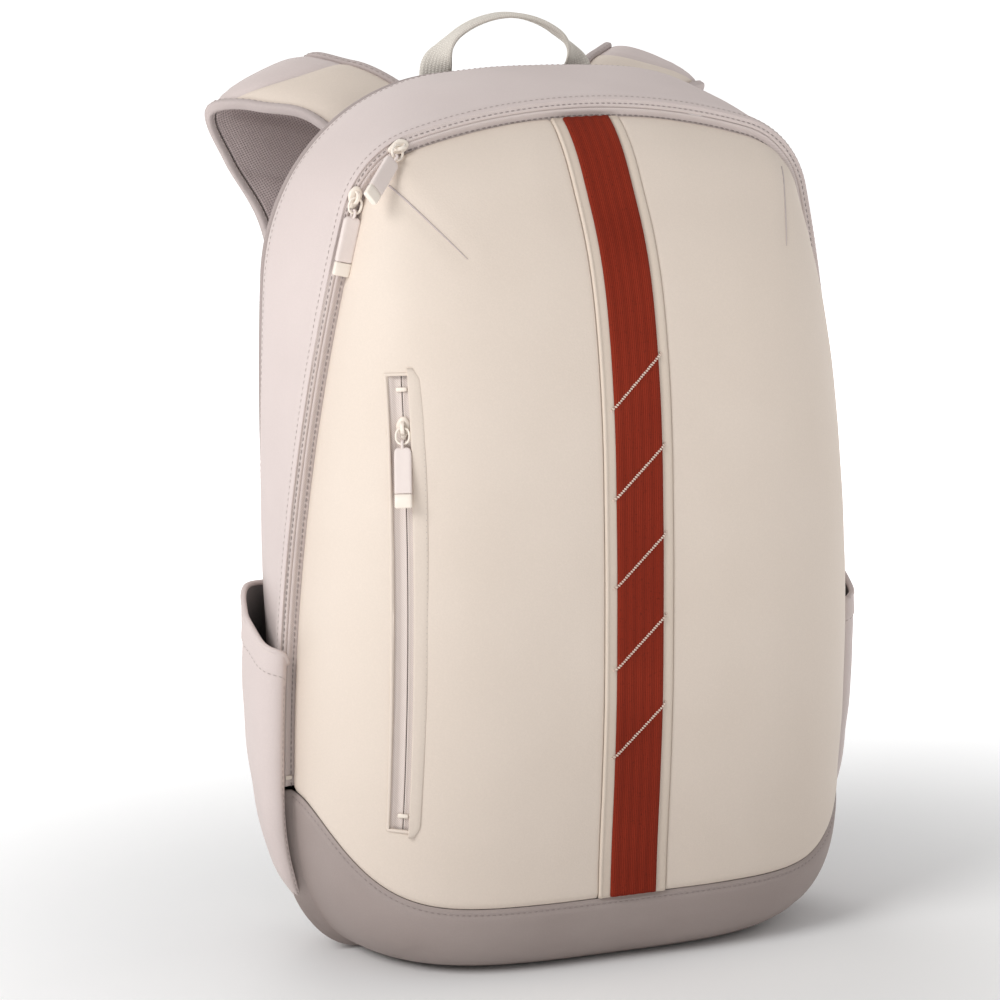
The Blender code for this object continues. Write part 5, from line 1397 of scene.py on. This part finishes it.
def inflate(obj, voxel, pressure, cap):
    """Remeshes a pad and blows it up as cloth, no point moving further than the cap."""
    bpy.context.view_layer.update()
    remesh = obj.modifiers.new("even", "REMESH")
    remesh.mode, remesh.voxel_size = "VOXEL", voxel
    mesh = bpy.data.meshes.new_from_object(obj.evaluated_get(bpy.context.evaluated_depsgraph_get()))
    mats = list(obj.data.materials)
    obj.modifiers.clear()
    obj.data = mesh
    start = [v.co.copy() for v in mesh.vertices]
    cloth = obj.modifiers.new("air", "CLOTH")
    set_ = cloth.settings
    set_.quality = 6
    set_.mass = 0.3
    set_.use_pressure = True
    set_.uniform_pressure_force = pressure
    set_.tension_stiffness = set_.compression_stiffness = 15
    set_.shear_stiffness = 5
    set_.bending_stiffness = 0.5
    set_.effector_weights.gravity = 0.0
    cloth.collision_settings.use_collision = False
    scene = bpy.context.scene
    for f in range(1, INFLATE_FRAMES + 1):
        scene.frame_set(f)
    done = obj.evaluated_get(bpy.context.evaluated_depsgraph_get())
    moved = [v.co.copy() for v in done.data.vertices]
    obj.modifiers.clear()
    scene.frame_set(1)
    for v, a, b in zip(mesh.vertices, start, moved):
        d = b - a
        v.co = a + d * min(1.0, cap / d.length) if d.length > 0 else a
    smooth = obj.modifiers.new("fine", "SUBSURF")
    smooth.levels = smooth.render_levels = 1
    mesh = bpy.data.meshes.new_from_object(obj.evaluated_get(bpy.context.evaluated_depsgraph_get()))
    obj.modifiers.clear()
    mesh.materials.clear()
    for m in mats:
        mesh.materials.append(m)
    obj.data = mesh
    for f in mesh.polygons:
        f.use_smooth = True
    return obj


CHANNELS = [(0.0, None, 0.0090, 0.0042), (None, 0.330, 0.0050, 0.0034), (None, 0.205, 0.0050, 0.0034)]


def make_back():
    loop = [Vector((x, BACK_Y + 0.0034, z)) for x, z in back_line(-0.0008, (60, 50, 110, 40, 40))]
    s = Sheet()
    s.sweep(loop, [Vector((0, 1, 0))] * len(loop), round_section(0.0024, 0.0024, 16), closed=True)
    place(s.make("piping_back", [M["piping"]]), "bag", "back_piping", slot="taupe_shell")
    outline = back_line(-0.0040, (40, 40, 90, 30, 30))
    centre = (0.0, 0.245)
    rings = []
    levels = ((0.25, 0), (0.5, 0), (0.75, 0), (0.90, 0), (0.97, 0), (1.0, 0.04), (1.0, 0.3), (0.992, 0.55),
              (0.975, 0.74), (0.95, 0.85), (0.915, 0.90), (0.86, 0.92), (0.76, 0.92), (0.60, 0.92),
              (0.42, 0.92), (0.22, 0.92))
    for k, rise in levels:
        rings.append([Vector((x, BACK_PANEL_Y + BACK_PAD * rise, z)) for x, z in shrunk(outline, k, centre)])
    s = Sheet()
    s.rings(rings)
    pad = s.make("panel_back", [M["mesh"]])
    inflate(pad, 0.005, 2.0, 0.0016)
    bm = bmesh.new()
    bm.from_mesh(pad.data)
    if len(bm.verts) < 12000:
        bmesh.ops.subdivide_edges(bm, edges=bm.edges, cuts=1, use_grid_fill=True)
    # seams and sewn channels are pressed in after the pad has its shape
    for v in bm.verts:
        p = v.co
        rise = ease((p.y - BACK_PANEL_Y - 0.004) / 0.005)
        if rise > 0:
            drop = 0.0
            for x, z, wide, deep in CHANNELS:
                if x is not None:
                    ends = ease((0.455 - p.z) / 0.02) * ease((p.z - 0.03) / 0.02)
                    drop = max(drop, deep * bump(p.x - x, wide) * ends)
                else:
                    drop = max(drop, deep * bump(p.z - z - 0.10 * abs(p.x), wide) * ease((0.145 - abs(p.x)) / 0.02))
            rim = max(abs(p.x) - 0.120, 0) / 0.04
            p.y += (0.0012 * wave(p, 0.06, 51) - drop - 0.0008 * ease(rim)) * rise
            p.y = min(p.y, BACK_PANEL_Y + BACK_PAD + 0.0012)
    bm.to_mesh(pad.data)
    bm.free()
    place(pad, "bag", "back_panel", slot="back_mesh")
    # sleeve: padded pocket, open on top
    wall, (front, inside, back) = 0.004, (0.0440, 0.0480, 0.0694)
    h, top, foot = 0.133, 0.345, 0.034
    outer, inner = [], []
    across = 60
    for i in range(49):
        v = i / 48
        z = mix(foot, top, v)
        a, b = [], []
        for j in range(across + 1):
            t = -1 + 2 * j / across
            turn = clamp((abs(t) - 0.90) / 0.10)
            x = h * (abs(t) / 0.90 if abs(t) < 0.90 else 1.0) * (1 if t > 0 else -1)
            y = front if abs(t) < 0.90 else mix(front, back, turn)
            soft = 0.0012 * wave((x, y, z), 0.07, 61) * (1 - turn)
            round_off = 0.003 * (1 - ease((h - abs(x)) / 0.006)) * (1 - turn)
            hem = 0.0009 * bump((1 - v) * 0.31 - 0.006, 0.005)
            a.append(Vector((x * (1 - 0.004 * turn), y + round_off - hem + soft * 0.5 + 0.0008, z)))
            xi = clamp(x, -h + wall, h - wall)
            b.append(Vector((xi, max(inside, y if turn else inside), z)))
        outer.append(a)
        inner.append(b)
    s = Sheet()
    s.shell(outer, inner, lining=0)
    sleeve = s.make("sleeve_laptop", [M["lining_light"]])
    place(sleeve, "bag", "laptop_sleeve", slot="lining")


def make_pocket_bag(find):
    outer, inner = [], []
    for i in range(45):
        z = mix(SLOT_FOOT[1] + 0.004, SLOT_TOP[1] + 0.006, i / 44)
        a, b = [], []
        for j in range(29):
            x = mix(-0.112, -0.030, j / 28)
            p, out = find(x, z)
            side = min(i, 44 - i) / 6, min(j, 28 - j) / 4
            full = ease(min(side[0], side[1], 1.0))
            sag = 0.0008 * wave(p, 0.03, 71) * full
            a.append(p - out * (0.0085 - 0.0004 * full + sag))
            b.append(p - out * (0.0105 - 0.0002 + sag + 0.0008 * full))
        outer.append(a)
        inner.append(b)
    s = Sheet()
    s.shell(outer, inner, lining=0)
    place(s.make("bag_pocket", [M["lining_light"]]), "front_flap", "pocket_bag", slot="lining")


# ---------------------------------------------------------------- straps
STRAP_LINE = [(0.062, 0.1050, 0.422), (0.066, 0.1080, 0.444), (0.083, 0.1210, 0.4600), (0.106, 0.1420, 0.4690),
              (0.1240, 0.1600, 0.4680), (0.1080, 0.1740, 0.4400), (0.0860, 0.1820, 0.4050), (0.0750, 0.1860, 0.3500),
              (0.0740, 0.1850, 0.2900), (0.0820, 0.1780, 0.2300)]
STRAP_SIDES = [(1, 0, 0.00), (1, 0, -0.10), (0.95, -0.05, -0.30), (0.90, 0.00, -0.44), (0.90, -0.02, -0.44),
               (0.88, -0.15, -0.42), (0.86, -0.30, -0.34), (0.92, -0.30, -0.18), (0.97, -0.15, -0.06), (1, 0, 0.0)]
STRAP_N = 150
SEAM_AT = (0.235, 0.265)      # where cream gives way to the taupe band, at the inner and outer edge
SEAM_ROW, BAND_ROW = 38, 60


def smooth_path(points, n):
    pts = [Vector(p) for p in points]
    dense = []
    for i in range(len(pts) - 1):
        p0 = pts[i - 1] if i else pts[0] * 2 - pts[1]
        p1, p2 = pts[i], pts[i + 1]
        p3 = pts[i + 2] if i + 2 < len(pts) else p2 * 2 - p1
        for k in range(12):
            t = k / 12
            dense.append(0.5 * (2 * p1 + (p2 - p0) * t + (2 * p0 - 5 * p1 + 4 * p2 - p3) * t * t
                                + (3 * p1 - 3 * p2 + p3 - p0) * t ** 3))
    dense.append(pts[-1])
    return resample(dense, n)


class Strap:
    """The strap's own coordinates: t along it, k across it from -1 to 1, and a height off its middle sheet."""

    def __init__(self):
        self.path = smooth_path(STRAP_LINE, STRAP_N)
        self.sides, self.ups, self.ahead = [], [], []
        for i, p in enumerate(self.path):
            s = i / STRAP_N * (len(STRAP_SIDES) - 1)
            k = min(int(s), len(STRAP_SIDES) - 2)
            side = Vector(STRAP_SIDES[k]).lerp(Vector(STRAP_SIDES[k + 1]), ease(s - k)).normalized()
            ahead = (self.path[min(i + 1, STRAP_N)] - self.path[max(i - 1, 0)]).normalized()
            self.sides.append(side)
            self.ahead.append(ahead)
            self.ups.append(side.cross(ahead).normalized())
        self.length = Line(self.path).length

    def half(self, i):
        t = i / STRAP_N
        return STRAP_WIDTH / 2 * (1.0 if t < 0.62 else mix(1.0, 0.62, (t - 0.62) / 0.38))

    def at(self, i, k, lift, extra=0.0):
        if i != int(i):
            low = int(i)
            return self.at(low, k, lift, extra).lerp(self.at(low + 1, k, lift, extra), i - low)
        i = int(i)
        return self.path[i] + self.sides[i] * k * (self.half(i) + extra) + self.ups[i] * lift


def make_straps():
    strap = Strap()
    n = 42
    rings, mats, under = [], [], []
    for i in range(STRAP_N + 1):
        t = i / STRAP_N
        end = ease(min(t, 1 - t) / 0.035)
        ring, kinds = [], []
        half = strap.half(i)
        for j in range(n + 1):
            k = -1 + 2 * j / n
            d = (1 - abs(k)) * half
            crown = (1 - abs(k) ** 2.6) ** 0.62
            h = 0.0018 + (STRAP_THICK - 0.0038) * crown * (0.45 + 0.55 * end)
            # rows near the seam lean with it, so that it falls exactly between two of them
            lean = (mix(SEAM_AT[0], SEAM_AT[1], (k + 1) / 2) - 0.020 * (1 - k * k)) * STRAP_N - SEAM_ROW
            row = i + lean * ease(1 - abs(i - SEAM_ROW) / 24)
            gap = min(abs(i - SEAM_ROW), abs(i - BAND_ROW)) / STRAP_N * strap.length
            h -= 0.0014 * bump(gap, 0.0018) * crown
            h += 0.0007 * wave(strap.at(i, k, 0), 0.035, 81) * ease(d / 0.01)
            ring.append(strap.at(row, k * (half - 0.0012) / half, h))
            kinds.append(1 if SEAM_ROW <= i < BAND_ROW else 0)
        for k in (0.92, 0.5, 0.0, -0.5, -0.92):
            ring.append(strap.at(i, k, 0.0008))
            kinds.append(0)
        rings.append(ring)
        mats.append(kinds)
        row = []
        for j in range(31):
            k = -1 + 2 * j / 30
            d = (1 - abs(k)) * half
            run = i / STRAP_N * strap.length
            quilt = ((run + k * half * 0.9) % 0.052) - 0.026
            swell = 0.0024 * (1 - abs(k) ** 3) * (1 - 0.85 * bump(quilt, 0.0036)) - 0.0004 * bump(d - 0.0048, 0.001)
            row.append(strap.at(i, k * (half - 0.0016) / half, -0.0006 - 0.0002 - swell * end))
        under.append(row)
    base = [[strap.at(i, (-1 + 2 * j / 30) * (strap.half(i) - 0.0016) / strap.half(i), -0.0004) for j in range(31)]
            for i in range(STRAP_N + 1)]
    rim, rim_up, rim_out = [], [], []

    def edge(i, k, push=0.0):
        rim.append(strap.at(i, k, 0.0018, 0.0010) + strap.ahead[i] * push)
        rim_up.append(strap.ups[i])
        rim_out.append(strap.sides[i] * (1 if k > 0 else -1) if abs(k) == 1 else strap.ahead[i])
    for i in range(0, STRAP_N):
        edge(i, -1)
    for k in (-1, -0.85, -0.6, -0.3, 0.0, 0.3, 0.6, 0.85, 1):
        edge(STRAP_N, k, 0.0040 * (1 - 0.4 * abs(k) ** 6))
    for i in range(STRAP_N - 1, -1, -1):
        edge(i, 1)
    for sign, name in ((1, "right"), (-1, "left")):
        body = "shoulder_strap_" + name
        m = sign < 0
        s = Sheet()
        s.rings(rings, mats=mats)
        pad = s.make("pad_strap_" + name, [M["cream_strap"], M["taupe"]], mirror=m)
        place(pad, body, "shoulder_strap_" + name, slot="strap_pad")
        s = Sheet()
        s.shell(under, base, lining=0)
        mesh = s.make("mesh_strap_" + name, [M["strap_mesh"]], mirror=m)
        place(mesh, body, "strap_mesh_" + name, slot="strap_pad")
        # binding: a tape folded over the edge
        path = flipped(rim) if m else rim
        ups = flipped(rim_up) if m else rim_up
        s = Sheet()
        s.sweep(path, ups, round_section(0.0031, 0.0024, 20, 0.7))
        place(s.make("tape_strap_" + name, [M["binding"]], mirror=False), body, "strap_binding_" + name, slot="binding")
        for label, up in (("top", 1), ("foot", -1)):
            line = [p + u * 0.0031 * up - o * 0.0012 for p, u, o in zip(rim, rim_up, rim_out)]
            out = [u * up for u in rim_up]
            if m:
                line, out = flipped(line), flipped(out)
            stitches("tape_stitches_%s_%s" % (label, name), line, out, M["thread_mid"], body, 0.0036, 0.0025, 0.00028)
    make_strap_ends()


WEB_WIDTH, WEB_THICK, FOLD = 0.025, 0.0014, 0.0044
TURN = (0.3, 0.6, 0.9, 1.25, 1.57, 1.9, 2.2, 2.5, 2.75)     # angles at which webbing goes round a bar
LOCK_HALF, LOCK_LONG, LOCK_THICK = 0.0185, 0.0150, 0.0018


def make_strap_ends():
    coarse = smooth_path(STRAP_LINE, 30)
    end, before = coarse[-1], coarse[-2]
    down = (end - before).normalized()
    up = X.cross(down).normalized()
    centre = end + down * 0.030 + up * 0.0008
    web = flat_section(WEB_WIDTH / 2, WEB_THICK / 2, 0.10, 17)
    for sign, name in ((1, "right"), (-1, "left")):
        m = sign < 0
        bar = centre - down * (LOCK_LONG - 0.0023)
        loop = [end + down * 0.0075 + up * 0.0040, bar - down * 0.002 + up * FOLD]
        loop += [bar + up * FOLD * cos(t) + down * FOLD * sin(t) for t in TURN]
        loop += [bar - down * 0.002 - up * FOLD, end + down * 0.0075 - up * 0.0030]
        loop = resample(loop, 40)
        s = Sheet()
        s.sweep(loop, [X] * len(loop), web)
        place(s.make("webbing_strap_" + name, [M["webbing"]], mirror=m), "shoulder_strap_" + name,
              "strap_web_" + name, slot="cream_webbing")
        s = Sheet()
        frame_path = []
        for k in range(64):
            t = 2 * pi * k / 64
            c, d = cos(t), sin(t)
            frame_path.append(centre + X * (LOCK_HALF - 0.0021) * abs(c) ** 0.30 * (1 if c > 0 else -1)
                              + down * (LOCK_LONG - 0.0021) * abs(d) ** 0.30 * (1 if d > 0 else -1))
        s.sweep(frame_path, [up] * 64, round_section(LOCK_THICK, 0.0021, 12, 0.6), closed=True)
        slab(s, centre - down * 0.0003, X, down, up,
             [(-0.0158, 0.8, 0.8), (-0.0150, 1, 1), (0.0150, 1, 1), (0.0158, 0.8, 0.8)],
             0.0035, LOCK_THICK * 0.95, 0.5, 20)
        place(sharpen(s.make("lock_" + name, [M["hardware"]], mirror=m), 50), "ladder_lock_" + name,
              "ladder_lock_" + name, slot="cream_hardware")
        bar = centre + down * (LOCK_LONG - 0.0026)
        foot = Vector((0.136, BACK_Y + 0.0300, 0.052))
        line = smooth_path([Vector((0.1180, BACK_PANEL_Y + 0.0140, 0.034)), foot, Vector((0.127, 0.142, 0.100)),
                            bar + down * 0.040 - up * 0.006, bar + down * 0.004 - up * FOLD], 60)
        line += [bar - up * FOLD * cos(t) - down * FOLD * sin(t) for t in TURN]
        line += [bar + down * 0.003 + up * FOLD] + [bar + down * mix(0.003, 0.026, k / 6) + up * mix(FOLD, 0.009, k / 6)
                                                    for k in range(1, 7)]
        line += [bar + down * mix(0.026, 0.055, k / 8) + up * mix(0.009, 0.011, k / 8) for k in range(1, 9)]
        s = Sheet()
        s.sweep(line, [X] * len(line), web)
        obj = s.make("webbing_lower_" + name, [M["webbing"]], mirror=m)
        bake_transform(obj)
        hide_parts("lower_webbing_" + name)


# ---------------------------------------------------------------- handle
def make_handle():
    steps, bend = 200, 0.4740
    path, amounts, sizes = [], [], []
    for i in range(steps + 1):
        t = -1 + 2 * i / steps
        across = min(abs(t) / 0.80, 1)
        x = HANDLE_FOOT * sin(across * pi / 2) ** 1.1 * (1 if t > 0 else -1)
        z = (bend + (HANDLE_PEAK - bend) * max(cos(across * pi / 2), 0) ** 0.9 if abs(t) < 0.80
             else mix(bend, bend - 0.012, (abs(t) - 0.80) / 0.20))
        path.append(Vector((x, HANDLE_Y, z)))
        fold = ease((z - 0.476) / 0.024)
        amounts.append(sin(fold * pi / 2))
        sizes.append((mix(0.0096, 0.0058, fold), mix(0.0009, 0.0016, fold), fold))
    rings = []
    for i, (p, amount, (half, high, fold)) in enumerate(zip(path, amounts, sizes)):
        forward = (path[min(i + 1, steps)] - path[max(i - 1, 0)]).normalized()
        level = Vector((0, 1, 0))
        flat = forward.cross(level).normalized()
        broad = (flat * sqrt(max(1 - amount * amount, 0)) + level * amount).normalized()
        thin = broad.cross(forward)
        rings.append([p + broad * a + thin * b for a, b in flat_section(half, high, 0.22, 15)])
    s = Sheet()
    s.rings(rings)
    place(s.make("handle_loop", [M["webbing"]]), "grab_handle", "grab_handle", slot="cream_webbing")
    for sign in (-1, 1):
        low, high = 0.4640, 0.4700
        line = [Vector((sign * (HANDLE_FOOT + x), HANDLE_Y + 0.0011, z)) for x, z in
                ((-0.007, low), (0.007, low), (0.007, high), (-0.007, high), (-0.007, low), (0.007, high))]
        stitches("handle_stitches_" + ("left" if sign < 0 else "right"), line, [Vector((0, 1, 0))] * len(line),
                 M["thread_light"], "grab_handle", 0.0030, 0.0022, 0.0003)


# ---------------------------------------------------------------- camera, lights, floor
def make_stage():
    camera = bpy.data.objects.new("camera", bpy.data.cameras.new("camera"))
    az, el, far = radians(-25), radians(10.3), 2.3018
    target = Vector((-0.04976, 0.0, 0.25245))
    camera.location = target + Vector((sin(az) * cos(el), -cos(az) * cos(el), sin(el))) * far
    camera.rotation_euler = (target - camera.location).to_track_quat("-Z", "Y").to_euler()
    camera.data.lens, camera.data.sensor_width = 151.47, 36.0
    bpy.context.scene.collection.objects.link(camera)
    bpy.context.scene.camera = camera
    floor_mesh = bpy.data.meshes.new("floor")
    r = 40.0
    floor_mesh.from_pydata([(-r, -r, -0.0005), (r, -r, -0.0005), (r, r, -0.0005), (-r, r, -0.0005)], [], [(0, 1, 2, 3)])
    floor_obj = bpy.data.objects.new("floor", floor_mesh)
    bpy.context.scene.collection.objects.link(floor_obj)
    m, t, shader = nodes_of("pale_floor")
    shader.inputs["Base Color"].default_value = (0.90, 0.90, 0.90, 1)
    shader.inputs["Roughness"].default_value = 0.95
    shader.inputs["Specular IOR Level"].default_value = 0.1
    # painted light: the floor glows, more the further it lies from the object, standing in for a bright studio sweep
    where, far_off, glow = (t.nodes.new("ShaderNode" + k) for k in ("TexCoord", "VectorMath", "MapRange"))
    far_off.operation = "LENGTH"
    glow.interpolation_type = "SMOOTHSTEP"
    glow.inputs["From Min"].default_value, glow.inputs["From Max"].default_value = 0.16, 0.85
    glow.inputs["To Max"].default_value = 0.70
    link(t, where, "Object", far_off, 0)
    link(t, far_off, "Value", glow, "Value")
    shader.inputs["Emission Color"].default_value = (1, 1, 1, 1)
    link(t, glow, "Result", shader, "Emission Strength")
    floor_mesh.materials.append(m)
    world = bpy.data.worlds.new("studio")
    world.use_nodes = True
    world.node_tree.nodes["Background"].inputs["Color"].default_value = (1, 1, 1, 1)
    world.node_tree.nodes["Background"].inputs["Strength"].default_value = WORLD
    bpy.context.scene.world = world
    for name, energy, size, where in LIGHTS:
        lamp = bpy.data.lights.new(name, "AREA")
        lamp.energy, lamp.shape, lamp.size = energy, "DISK", size
        obj = bpy.data.objects.new(name, lamp)
        obj.location = where
        obj.rotation_euler = (Vector((0, 0, 0.26)) - Vector(where)).to_track_quat("-Z", "Y").to_euler()
        bpy.context.scene.collection.objects.link(obj)


WORLD = 0.47
LIGHTS = [("key", 53.0, 1.5, (-2.5, -1.0, 1.9)), ("rim", 7.0, 1.2, (2.4, 0.2, 1.0)),
          ("back", 14.0, 1.8, (0.3, 2.2, 2.1))]
bpy.context.scene.view_settings.view_transform = "Standard"

# ---------------------------------------------------------------- making
make_stage()
fronts = make_front()
coarse = [[front_point(sin(j / 30 * pi / 2), mix(i / 44, sin(i / 44 * pi / 2), 0.5), 0.0) for j in range(31)]
          for i in range(45)]
find_front = front_finder(coarse)
track = slot_track(find_front)
cutter = Sheet()
cut_rings = []
for k in range(41):
    a = mix(-track[4], track[4], k / 40)
    cut_rings.append([on_track(track, a, c, d) for c, d in
                      ((-SLOT_HALF, -0.012), (SLOT_HALF, -0.012), (SLOT_HALF, 0.012), (-SLOT_HALF, 0.012))])
cutter.rings(cut_rings)
carve(fronts["left"], cutter.make("slot_cutter", [M["cream"]]))
place(fronts["left"], "front_flap", "front_panel_left", slot="cream_shell")
place(fronts["right"], "front_flap", "front_panel_right", slot="cream_shell")
make_strip()
make_pocket(find_front, track)
make_darts(find_front)
make_pocket_bag(find_front)
make_main_zip()
make_sliders(track)
make_gusset()
make_base()
make_side_pockets()
make_back()
make_straps()
make_handle()
for node, look in (("frame_sheet", "board"), ("base_board", "board"), ("main_zip_stop_left", "hardware"),
                   ("main_zip_stop_right", "hardware")):
    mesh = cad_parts[node].data
    for k in range(max(len(mesh.materials), 1)):
        if len(mesh.materials):
            mesh.materials[k] = M[look]
        else:
            mesh.materials.append(M[look])
